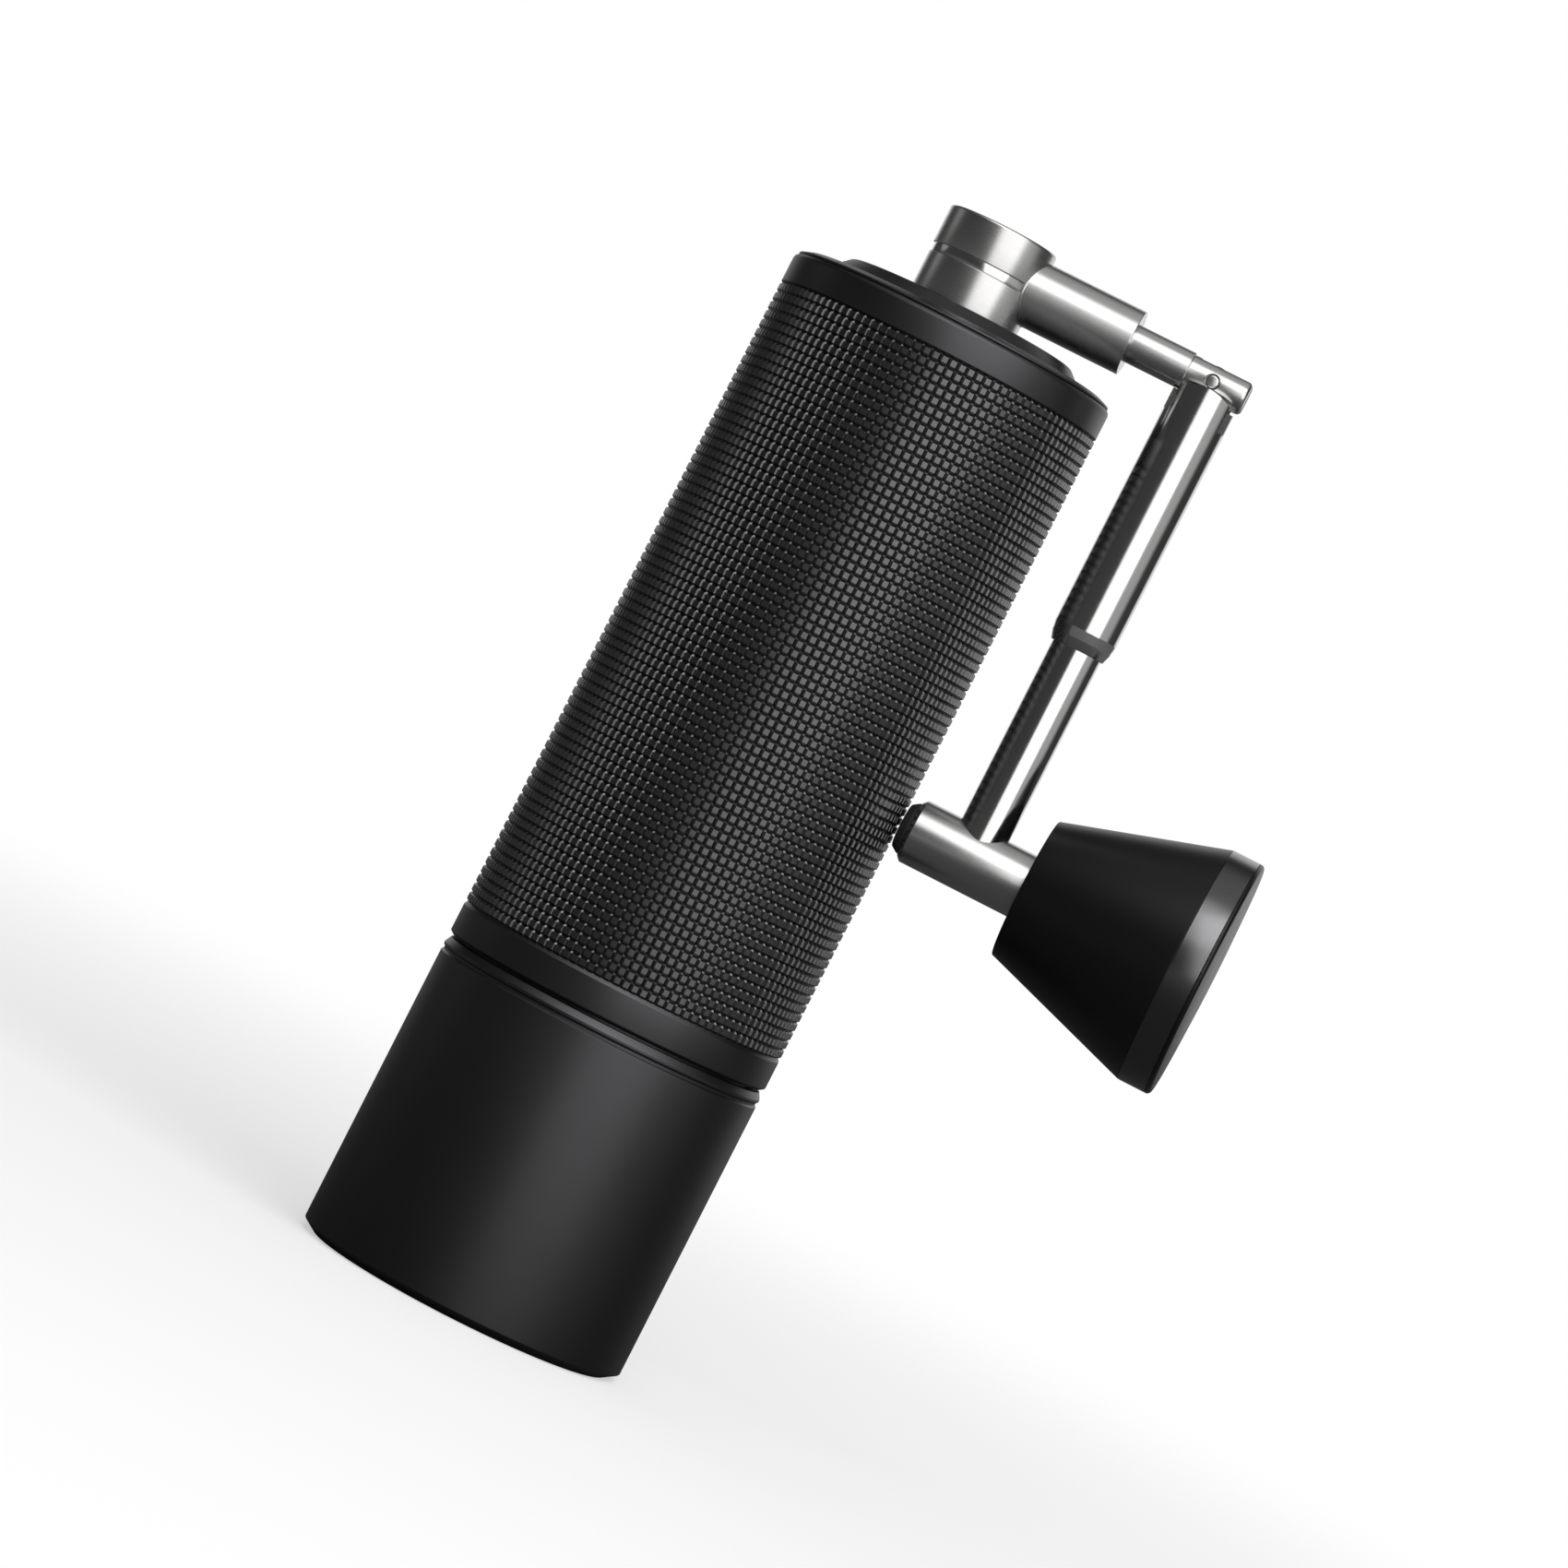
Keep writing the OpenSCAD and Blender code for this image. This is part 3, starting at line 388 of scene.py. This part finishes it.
def buildBody():
    r, low, high = grip["radius"], grip["bottom"], grip["top"]
    inside, shoulder, groove = bands["inside"], r - bands["shoulder"], r - grip["grooveDepth"]
    foot, top, edge = bands["foot"], bands["top"], bands["edge"]
    gripPiece = buildGrip()
    tidyMesh(gripPiece, grip["smoothAngle"])
    # the knurl wears the lighter copy of black anodised, a painted highlight
    finishPiece(gripPiece, "grip_black_painted_highlight", "grinder_body", "body_shell", slot="black_anodised")
    lowBand = turnPiece("body_bands", [
        (inside, foot, edge), (r - bands["footWidth"], foot, edge),
        (r, foot + bands["footHeight"], bands["footEdge"]), (r, low - bands["gripDrop"], bands["gripEdge"]),
        (groove, low), (shoulder, low), (inside, low),
    ], steps=bands["steps"])
    ring = turnPiece("body_ring", [
        (inside, high), (shoulder, high), (groove, high), (r, high + bands["ringRise"], bands["ringEdge"]),
        (r, top, bands["topEdge"]), (inside, top, bands["insideEdge"]),
    ], steps=bands["steps"], rounding=6)
    outside = bands["wall"]
    wall = turnPiece("body_wall", [(inside, low), (outside, low), (outside, high), (inside, high)])
    joined = joinPieces([lowBand, ring, wall])
    tidyMesh(joined)
    finishPiece(joined, "black_anodised", "grinder_body")


buildBody()
print("body done")


# Grounds cup: one turned shell with a fine groove below its lip
cup = {
    "radius": 26.5, "height": 48.65, "inside": 24.3, "floor": 2.4, "corner": 2.0,
    "footWidth": 2.0, "footHeight": 1.3, "footEdge": 0.12, "sideEdge": 0.2,
    "groove": 46.75, "grooveWidth": 0.90, "grooveDepth": 0.28, "grooveSide": 0.26,
    "grooveEdge": 0.12, "grooveCorner": 0.06,
    "lip": 1.05, "lipWidth": 0.55, "lipEdge": 0.1, "mouthEdge": 0.15,
}


def buildCup():
    r, top, inside, floor = cup["radius"], cup["height"], cup["inside"], cup["floor"]
    groove, half = cup["groove"], cup["grooveWidth"] / 2
    deep, flat = r - cup["grooveDepth"], half - cup["grooveSide"]
    piece = turnPiece("grounds_cup_shell", [
        (0, 0), (r - cup["footWidth"], 0, cup["footEdge"]), (r, cup["footHeight"], cup["sideEdge"]),
        (r, groove - half, cup["grooveEdge"]), (deep, groove - flat, cup["grooveCorner"]),
        (deep, groove + flat, cup["grooveCorner"]), (r, groove + half, cup["grooveEdge"]),
        (r, top - cup["lip"], cup["sideEdge"]), (r - cup["lipWidth"], top, cup["lipEdge"]),
        (inside, top, cup["mouthEdge"]), (inside, floor, cup["corner"]), (0, floor),
    ], steps=256, rounding=5)
    tidyMesh(piece)
    finishPiece(piece, "black_anodised", "cup", "grounds_cup")


buildCup()
print("cup done")


# Lid: a bevelled flange, a raised disc on it, and a plug with a seal groove under it
lid = {
    "bore": 7.08, "under": 161.0, "plug": 21.77, "plugWall": 1.7, "plugBottom": 158.0, "plugEdge": 0.3,
    "bodyTop": 163.6, "flange": 26.0, "flangeTop": 164.55,
    "bevelWidth": 1.6, "bevelHeight": 0.6, "bevelEdge": 0.14, "bevelFoot": 0.4,
    "disc": 20.7, "discSlope": 2.3, "top": 166.6, "foot": 0.6, "shoulder": 0.9, "edge": 0.1,
    "seal": (159.6, 161.4), "sealDepth": 1.2,
}


def buildLid():
    plug, outer, edge, (sealLow, sealHigh) = lid["plug"], lid["flange"], lid["edge"], lid["seal"]
    cavity, sealFloor = plug - lid["plugWall"], plug - lid["sealDepth"]
    piece = turnPiece("lid_disc", [
        (lid["bore"], lid["under"]), (cavity, lid["under"], lid["plugEdge"]),
        (cavity, lid["plugBottom"], edge),
        (plug, lid["plugBottom"], lid["plugEdge"]), (plug, sealLow), (sealFloor, sealLow),
        (sealFloor, sealHigh), (plug, sealHigh), (plug, lid["bodyTop"]), (outer, lid["bodyTop"], edge),
        (outer, lid["flangeTop"] - lid["bevelHeight"], lid["bevelEdge"]),
        (outer - lid["bevelWidth"], lid["flangeTop"], lid["bevelFoot"]),
        (lid["disc"], lid["flangeTop"], lid["foot"]),
        (lid["disc"] - lid["discSlope"], lid["top"], lid["shoulder"]), (lid["bore"], lid["top"], edge),
    ], steps=256, rounding=5)
    tidyMesh(piece)
    finishPiece(piece, "black_anodised", "lid", "lid_cap")


buildLid()
print("lid done")


# Crank: the hub on the lid, its boss, the rod in it and the pin of the fold hinge
crank = {
    "hub": 8.85, "hubFoot": 8.75, "foot": 166.65, "top": 180.8, "footEdge": 0.15, "topEdge": 0.45,
    "groove": (173.1, 174.6), "grooveDepth": 0.3, "grooveEdge": 0.1, "grooveCorner": 0.12,
    "ringDepth": 0.24, "ringInside": 0.6, "ringGap": 0.05,
    "neck": 6.0, "neckBottom": 158.6, "neckEdge": 0.3, "clip": (159.85, 160.75), "clipDepth": 0.8,
    "hexagon": 3.672, "socket": 165.2, "socketLow": 150,
    "axis": 174.2, "boss": 5.2, "bossSeat": 2.6, "bossEnd": 24.9, "fillet": 0.15, "bossEdge": 0.16,
    "mouthDepth": 1.5, "mouthGap": 0.02, "mouthEdge": 0.05,
    "rod": 3.025, "rodStart": 13.75, "shoulder": 34.3, "shoulderEdge": 0.12, "shoulderStep": 0.06,
    "barrel": 2.75, "tip": 44.1, "tipEdge": 0.7, "rodBevel": 0.07,
    "slotStart": 35.45, "slot": 2.2, "cutter": 12,
    "hinge": 38.45, "pin": 1.05, "pinReach": 2.7, "pinEdge": 0.3, "pinGap": 0.2, "bore": 14,
}


def pinCutter(radius):
    return prism("bore", 64, radius, crank["bore"], (crank["hinge"], 0, crank["axis"]), (quarterTurn, 0, 0))


def buildHub():
    r, neck, (low, high) = crank["hub"], crank["neck"], crank["groove"]
    foot, grooveFloor, inner = crank["hubFoot"], r - crank["grooveDepth"], neck - crank["clipDepth"]
    clipLow, clipHigh = crank["clip"]
    hub = turnPiece("crank_hub_turned", [
        (0, crank["neckBottom"]), (neck, crank["neckBottom"], crank["neckEdge"]), (neck, clipLow),
        (inner, clipLow), (inner, clipHigh), (neck, clipHigh), (neck, crank["foot"]),
        (foot, crank["foot"], crank["footEdge"]), (foot, low, crank["grooveEdge"]),
        (grooveFloor, low, crank["grooveCorner"]), (grooveFloor, high, crank["grooveCorner"]),
        (r, high, crank["grooveEdge"]), (r, crank["top"], crank["topEdge"]), (0, crank["top"]),
    ], steps=256, rounding=6)
    tidyMesh(hub)
    top, bottom = crank["socket"], crank["socketLow"]
    middle, turn = (0, 0, (top + bottom) / 2), (0, 0, quarterTurn)
    cut(hub, prism("socket", 6, crank["hexagon"], top - bottom, middle, turn))
    finishPiece(hub, "hub_steel", "crank", "crank_hub", slot="satin_steel")


def buildGrooveRing():
    gap, (low, high) = crank["ringGap"], crank["groove"]
    inner, outer = crank["hub"] - crank["ringInside"], crank["hub"] - crank["ringDepth"]
    ring = turnPiece("hub_groove_ring", [
        (inner, low + gap), (outer, low + gap, gap), (outer, high - gap, gap), (inner, high - gap),
    ], steps=192)
    tidyMesh(ring)
    finishPiece(ring, "bright_steel", "crank")


# The flared foot of the boss follows the hub's round side
def buildBoss():
    r, radius, end = crank["hub"], crank["boss"], crank["bossEnd"]
    seat, flare = r - crank["bossSeat"], radius + crank["fillet"]
    mouth, floor = crank["rod"] + crank["mouthGap"], end - crank["mouthDepth"]
    boss = turnPiece("crank_boss", [
        (0, seat), (flare, seat), (flare, r), (radius, r, crank["fillet"]), (radius, end, crank["bossEdge"]),
        (mouth, end, crank["mouthEdge"]), (mouth, floor), (0, floor),
    ], steps=192, origin=(0, 0, crank["axis"]), along="X", rounding=8)
    for vertex in boss.data.vertices:
        x, y = vertex.co.x / mm, vertex.co.y / mm
        if x < crank["rodStart"]:
            vertex.co.x = (x + math.sqrt(r * r - y * y) - r) * mm
    tidyMesh(boss)
    finishPiece(boss, "rod_steel", "crank", slot="satin_steel")


def buildHinge():
    shoulder, axis, reach = crank["shoulder"], crank["axis"], crank["pinReach"]
    rod = turnPiece("hinge_fork", [
        (0, crank["rodStart"]), (crank["rod"], crank["rodStart"]),
        (crank["rod"], shoulder, crank["shoulderEdge"]),
        (crank["barrel"], shoulder + crank["shoulderStep"], crank["shoulderStep"]),
        (crank["barrel"], crank["tip"], crank["tipEdge"]), (0, crank["tip"]),
    ], steps=160, origin=(0, 0, axis), along="X", rounding=6)
    tidyMesh(rod)
    length = crank["cutter"]
    cut(rod, block("slot", (length, crank["slot"], length), (crank["slotStart"] + length / 2, 0, axis)))
    cut(rod, pinCutter(crank["pin"] + crank["pinGap"]))
    softenEdges(rod, crank["rodBevel"])
    finishPiece(rod, "rod_steel", "crank", "hinge_rod", slot="satin_steel")
    pin = turnPiece("hinge_pin_turned", [
        (0, -reach), (crank["pin"], -reach, crank["pinEdge"]), (crank["pin"], reach, crank["pinEdge"]),
        (0, reach),
    ], steps=64)
    pin.rotation_euler = (quarterTurn, 0, 0)
    pin.location = (crank["hinge"] * mm, 0, axis * mm)
    place(pin)
    tidyMesh(pin)
    finishPiece(pin, "rod_steel", "crank", "hinge_pin", slot="satin_steel")


buildHub()
buildGrooveRing()
buildBoss()
buildHinge()
print("crank done")


# Folding arm: a slotted tube with a domed top, the rod in it, and the cross tube with its pad
arm = {
    "tube": 5.03, "tubeEdge": 1.2, "taperTop": 132.3, "taperEnd": 129.3, "taper": 4.3, "taperEdge": 0.12,
    "swell": 0.12, "swellEdge": 2.0, "bevel": 0.09,
    "lobeDrop": 1.3, "lobe": 8.753, "lobeDepth": 20, "crown": 16,
    "slotWidth": 5.8, "slotBottom": 167.74, "web": 171.07, "tongue": 2.0, "tongueGap": 0.02, "eye": 2.63,
    "tongueRoot": 1, "pinGap": 0.06, "cutter": (14, 12),
    "rod": 4.0, "rodTop": 150.1, "rodEdge": 0.1, "rodBore": 4.03, "boreTop": 150.3, "boreDepth": 25,
    "cross": 5.1, "crossStart": 28.4, "crossEnd": 48.4, "chamfer": 0.6, "chamferEdge": 0.3, "edge": 0.1,
    "knobAxis": 94.2,
    "pad": 1.5, "padBase": 4.2, "padNose": 3.4, "noseEdge": 0.5, "padStep": (0.1, 0.45), "padEdge": 0.4,
    "stem": 1.5, "stemLength": 3.5,
}


def turnArmTube():
    r, end, top = arm["tube"], arm["taperEnd"], arm["taperTop"]
    tube = turnPiece("arm_tube_turned", [
        (0, end), (arm["taper"], end, arm["taperEdge"]),
        ((arm["taper"] + r) / 2 + arm["swell"], (top + end) / 2, arm["swellEdge"]),
        (r, top, arm["tubeEdge"]), (r, crank["axis"]), (0, crank["axis"]),
    ], steps=192, origin=(crank["hinge"], 0, 0), rounding=6)
    tidyMesh(tube)
    return tube


# The dome is cut first, then the slot on both sides of the tongue, and the tongue and its eye go in
def buildArmTube():
    x, z, (width, height) = crank["hinge"], crank["axis"], arm["cutter"]
    tube = turnArmTube()
    lobeZ = z - arm["lobeDrop"] - arm["lobe"]
    crown = block("crown", (width, width, arm["crown"]), (x, 0, lobeZ + arm["crown"] / 2))
    cut(crown, prism("lobe", 256, arm["lobe"], arm["lobeDepth"], (x, 0, lobeZ), (quarterTurn, 0, 0)))
    cut(tube, crown)
    side = (arm["slotWidth"] - arm["tongue"]) / 2
    for y in (-1, 1):
        middle = y * (arm["tongue"] + side) / 2
        cut(tube, block("side", (width, side, height), (x, middle, arm["slotBottom"] + height / 2)))
    gap = arm["tongue"] + arm["tongueGap"]
    cut(tube, block("middle", (width, gap, height), (x, 0, arm["web"] + height / 2)))
    root = arm["web"] - arm["tongueRoot"]
    tongue = block("tongue", (2 * arm["eye"], arm["tongue"], z - root), (x, 0, (z + root) / 2))
    cut(tongue, prism("eye", 96, arm["eye"], arm["tongue"], (x, 0, z), (quarterTurn, 0, 0)), "UNION")
    cut(tube, tongue, "UNION")
    cut(tube, pinCutter(crank["pin"] + arm["pinGap"]))
    depth = arm["boreDepth"]
    cut(tube, prism("bore", 96, arm["rodBore"], depth, (x, 0, arm["boreTop"] - depth / 2)))
    softenEdges(tube, arm["bevel"])
    finishPiece(tube, "tube_steel", "arm", "arm_tube", slot="satin_steel")


def buildArmRod():
    rod = turnPiece("arm_rod_turned", [
        (0, arm["knobAxis"]), (arm["rod"], arm["knobAxis"]), (arm["rod"], arm["rodTop"], arm["rodEdge"]),
        (0, arm["rodTop"]),
    ], steps=160, origin=(crank["hinge"], 0, 0))
    tidyMesh(rod)
    finishPiece(rod, "tube_steel", "arm", "arm_rod", slot="satin_steel")


def buildCrossTube():
    origin, radius, start, end = (0, 0, arm["knobAxis"]), arm["cross"], arm["crossStart"], arm["crossEnd"]
    cross = turnPiece("cross_tube_turned", [
        (0, start), (radius - arm["chamfer"], start, arm["edge"]),
        (radius, start + arm["chamfer"], arm["chamferEdge"]), (radius, end, arm["edge"]), (0, end),
    ], steps=160, origin=origin, along="X", rounding=5)
    tidyMesh(cross)
    finishPiece(cross, "rod_steel", "arm", "cross_tube", slot="satin_steel")
    nose, base, stem, stemEnd = start - arm["pad"], arm["padBase"], arm["stem"], start + arm["stemLength"]
    stepIn, stepDown = arm["padStep"]
    pad = turnPiece("end_pad_moulded", [
        (0, nose), (arm["padNose"], nose, arm["noseEdge"]), (base - stepIn, start - stepDown, arm["padEdge"]),
        (base, start), (stem, start), (stem, stemEnd), (0, stemEnd),
    ], origin=origin, along="X", rounding=5)
    tidyMesh(pad)
    finishPiece(pad, "rubber_black", "arm", "end_pad")


buildArmTube()
buildArmRod()
buildCrossTube()
print("arm done")


# Mushroom knob: a cone with a metal rim band and a domed end cap
knob = {
    "start": 47.8, "end": 77.45, "small": 11.15, "big": 19.1, "cone": 73.0, "smallEdge": 0.2, "edge": 0.1,
    "recess": 5.4, "recessDepth": 1.1, "bore": 3.88,
    "rimInside": 17.6, "rimEdge": 0.04, "shelf": 0.5, "pocket": 10.0, "pocketStart": 72.3,
    "cap": 19.1, "capEnd": 78.72, "capEdge": 78.23, "capRound": 0.7, "capStep": 0.4, "seam": 0.08,
    "spigot": 1, "spigotGap": 0.03, "dome": (0.55, 0.12, 40),
}


def buildKnob():
    start, end, cone, big, edge = knob["start"], knob["end"], knob["cone"], knob["big"], knob["edge"]
    bore, pocket, recess, rimInside = knob["bore"], knob["pocket"], knob["recess"], knob["rimInside"]
    shelf, recessFloor = end - knob["shelf"], start + knob["recessDepth"]
    turned = {"steps": 256, "origin": (0, 0, arm["knobAxis"]), "along": "X", "rounding": 6}
    body = turnPiece("knob_cone", [
        (recess, start, knob["smallEdge"]), (knob["small"], start, knob["smallEdge"]), (big, cone, edge),
        (rimInside, cone), (rimInside, shelf), (pocket, shelf, edge), (pocket, knob["pocketStart"]),
        (bore, knob["pocketStart"]), (bore, recessFloor), (recess, recessFloor),
    ], **turned)
    tidyMesh(body)
    finishPiece(body, "knob_black", "knob", "knob_body")
    rim = turnPiece("knob_rim_band", [
        (rimInside, cone), (big, cone, edge), (big, end, knob["rimEdge"]), (rimInside, end),
    ], **turned)
    tidyMesh(rim)
    finishPiece(rim, "rim_black", "knob", slot="knob_black")
    spigot, seam, step = pocket - knob["spigotGap"], end + knob["seam"], knob["cap"] - knob["capStep"]
    domeShare, domeDrop, domeRound = knob["dome"]
    cap = turnPiece("knob_end_cap", [
        (0, end - knob["spigot"]), (spigot, end - knob["spigot"]), (spigot, end), (step, end), (step, seam),
        (knob["cap"], seam, knob["rimEdge"]), (knob["cap"], knob["capEdge"], knob["capRound"]),
        (knob["cap"] * domeShare, knob["capEnd"] - domeDrop, domeRound), (0, knob["capEnd"]),
    ], **turned)
    tidyMesh(cap)
    finishPiece(cap, "knob_black", "knob", "knob_cap")


buildKnob()
print("knob done")


# Distances are in metres and angles in degrees from here on
view = {
    "azimuth": 6.4, "distance": 0.940, "height": 0.102, "side": 0.0082, "roll": 27,
    "lens": 143.5, "sensor": 36, "shift": (-0.0200, -0.0393),
}
studio = {
    "floorSize": 4.0, "floorSides": 96, "haloStart": 0.14, "haloEnd": 0.5,
    "floorColour": (0.82, 0.82, 0.82), "floorMirrored": (0.14, 0.14, 0.14),
    "floorGloss": 0.10, "floorLift": 0.5, "ambient": 0.28, "dim": 0.05,
    # azimuth from the camera, height, where the patch starts and is full, and how bright it is
    "patches": {
        "backdrop": (172.5, 0, 0.74, 0.84, 0.95),
        "right": (62, 0, 0.848, 0.985, 0.45),
        "ceiling": (0, 78, 0.60, 0.98, 0.40),
        "left": (-107, 10, 0.978, 0.996, 0.30),
        "upper": (-14, 46, 0.90, 0.96, 1.15),
    },
    "key": {"azimuth": 23, "height": 25, "distance": 1.25, "size": (1.28, 1.75), "power": 11.5},
    "aim": (0.01, 0, 0.09),
}


# Azimuths run from the camera towards +X
def towards(azimuth, height):
    a, h = math.radians(azimuth + view["azimuth"]), math.radians(height)
    return Vector((math.sin(a) * math.cos(h), -math.cos(a) * math.cos(h), math.sin(h)))


# A Math node whose inputs are sockets or plain numbers
def calculate(tree, operation, *values):
    node = addNode(tree, "ShaderNodeMath", operation=operation)
    for socket, value in zip(node.inputs, values):
        if isinstance(value, float):
            socket.default_value = value
        else:
            tree.links.new(value, socket)
    return node.outputs["Value"]


def smoothRamp(tree, value, start, full, low=0.0, high=1.0):
    ramp = addNode(
        tree, "ShaderNodeMapRange", [(value, "Value")], interpolation_type="SMOOTHSTEP",
        From_Min=start, From_Max=full, To_Min=low, To_Max=high,
    )
    return ramp.outputs["Result"]


def mixShaders(tree, factor, first, second):
    links = [(factor, 0), (first.outputs[0], 1), (second.outputs[0], 2)]
    return addNode(tree, "ShaderNodeMixShader", links)


# White to the camera away from the part; near it the matte floor shows, with the shadow
def buildFloor():
    clearSelection()
    bpy.ops.mesh.primitive_circle_add(
        vertices=studio["floorSides"], radius=studio["floorSize"], fill_type="TRIFAN"
    )
    floor = bpy.context.object
    floor.name = "floor"
    material = bpy.data.materials.new("floorWhite")
    material.use_nodes = True
    tree = material.node_tree
    tree.nodes.clear()
    path = addNode(tree, "ShaderNodeLightPath").outputs
    point = addNode(tree, "ShaderNodeTexCoord").outputs["Object"]
    away = addNode(tree, "ShaderNodeVectorMath", [(point, 0)], operation="LENGTH").outputs["Value"]
    halo = smoothRamp(tree, away, studio["haloStart"], studio["haloEnd"])
    # glossy rays see a share of the glow, and a darker floor, so polished metal keeps its contrast
    seen = calculate(tree, "MULTIPLY_ADD", path["Is Glossy Ray"], studio["floorGloss"], path["Is Camera Ray"])
    tone = colourMix(tree, path["Is Glossy Ray"], studio["floorColour"], studio["floorMirrored"])
    matte = addNode(tree, "ShaderNodeBsdfDiffuse", [(tone, "Color")])
    # the lift is for the camera alone, and the shadow still shows in it
    lifted = calculate(tree, "MULTIPLY", path["Is Camera Ray"], studio["floorLift"])
    lift = addNode(tree, "ShaderNodeEmission", [(lifted, "Strength")])
    pale = addNode(tree, "ShaderNodeAddShader", [(matte.outputs[0], 0), (lift.outputs[0], 1)])
    glow = addNode(tree, "ShaderNodeEmission", Strength=1.0)
    blend = mixShaders(tree, calculate(tree, "MULTIPLY", halo, seen), pale, glow)
    addNode(tree, "ShaderNodeOutputMaterial", [(blend.outputs[0], "Surface")])
    floor.data.materials.append(material)


# White to the camera and through glass; metal sees a white wall behind, soft patches, and dark elsewhere
def buildWorld():
    world = bpy.data.worlds.new("studio")
    bpy.context.scene.world = world
    world.use_nodes = True
    tree = world.node_tree
    tree.nodes.clear()

    def background(strength):
        return addNode(tree, "ShaderNodeBackground", Color=(1, 1, 1, 1), Strength=strength)

    direction = addNode(tree, "ShaderNodeTexCoord").outputs["Generated"]
    total, low = None, studio["dim"]
    for azimuth, height, start, full, strength in studio["patches"].values():
        facing = addNode(tree, "ShaderNodeVectorMath", [(direction, 0)], operation="DOT_PRODUCT")
        facing.inputs[1].default_value = towards(azimuth, height)
        patch = smoothRamp(tree, facing.outputs["Value"], start, full, low, strength)
        total = patch if total is None else calculate(tree, "ADD", total, patch)
        low = 0.0
    room = background(1)
    tree.links.new(total, room.inputs["Strength"])
    path = addNode(tree, "ShaderNodeLightPath").outputs
    lit = mixShaders(tree, path["Is Glossy Ray"], background(studio["ambient"]), room)
    through = mixShaders(tree, path["Is Transmission Ray"], lit, background(1))
    shown = mixShaders(tree, path["Is Camera Ray"], through, background(1))
    addNode(tree, "ShaderNodeOutputWorld", [(shown.outputs[0], "Surface")])


def addLamp(name, azimuth, height, distance, size, power):
    away = towards(azimuth, height)
    lamp = bpy.data.lights.new(name, "AREA")
    lamp.shape = "RECTANGLE"
    lamp.size, lamp.size_y = size
    lamp.energy = power
    holder = bpy.data.objects.new(name, lamp)
    bpy.context.collection.objects.link(holder)
    holder.location = Vector(studio["aim"]) + away * distance
    holder.rotation_euler = (-away).to_track_quat("-Z", "Y").to_euler()


def addCamera():
    data = bpy.data.cameras.new("camera")
    data.lens = view["lens"]
    data.sensor_width = view["sensor"]
    data.shift_x, data.shift_y = view["shift"]
    camera = bpy.data.objects.new("camera", data)
    bpy.context.collection.objects.link(camera)
    azimuth = math.radians(view["azimuth"])
    turn = Matrix.Rotation(azimuth, 4, "Z")
    camera.location = turn @ Vector((view["side"], -view["distance"], view["height"]))
    camera.rotation_euler = (quarterTurn, -math.radians(view["roll"]), azimuth)
    bpy.context.scene.camera = camera


buildFloor()
buildWorld()
addLamp("keySoftbox", **studio["key"])
addCamera()
bpy.context.scene.view_settings.view_transform = "Standard"
print("studio lit")
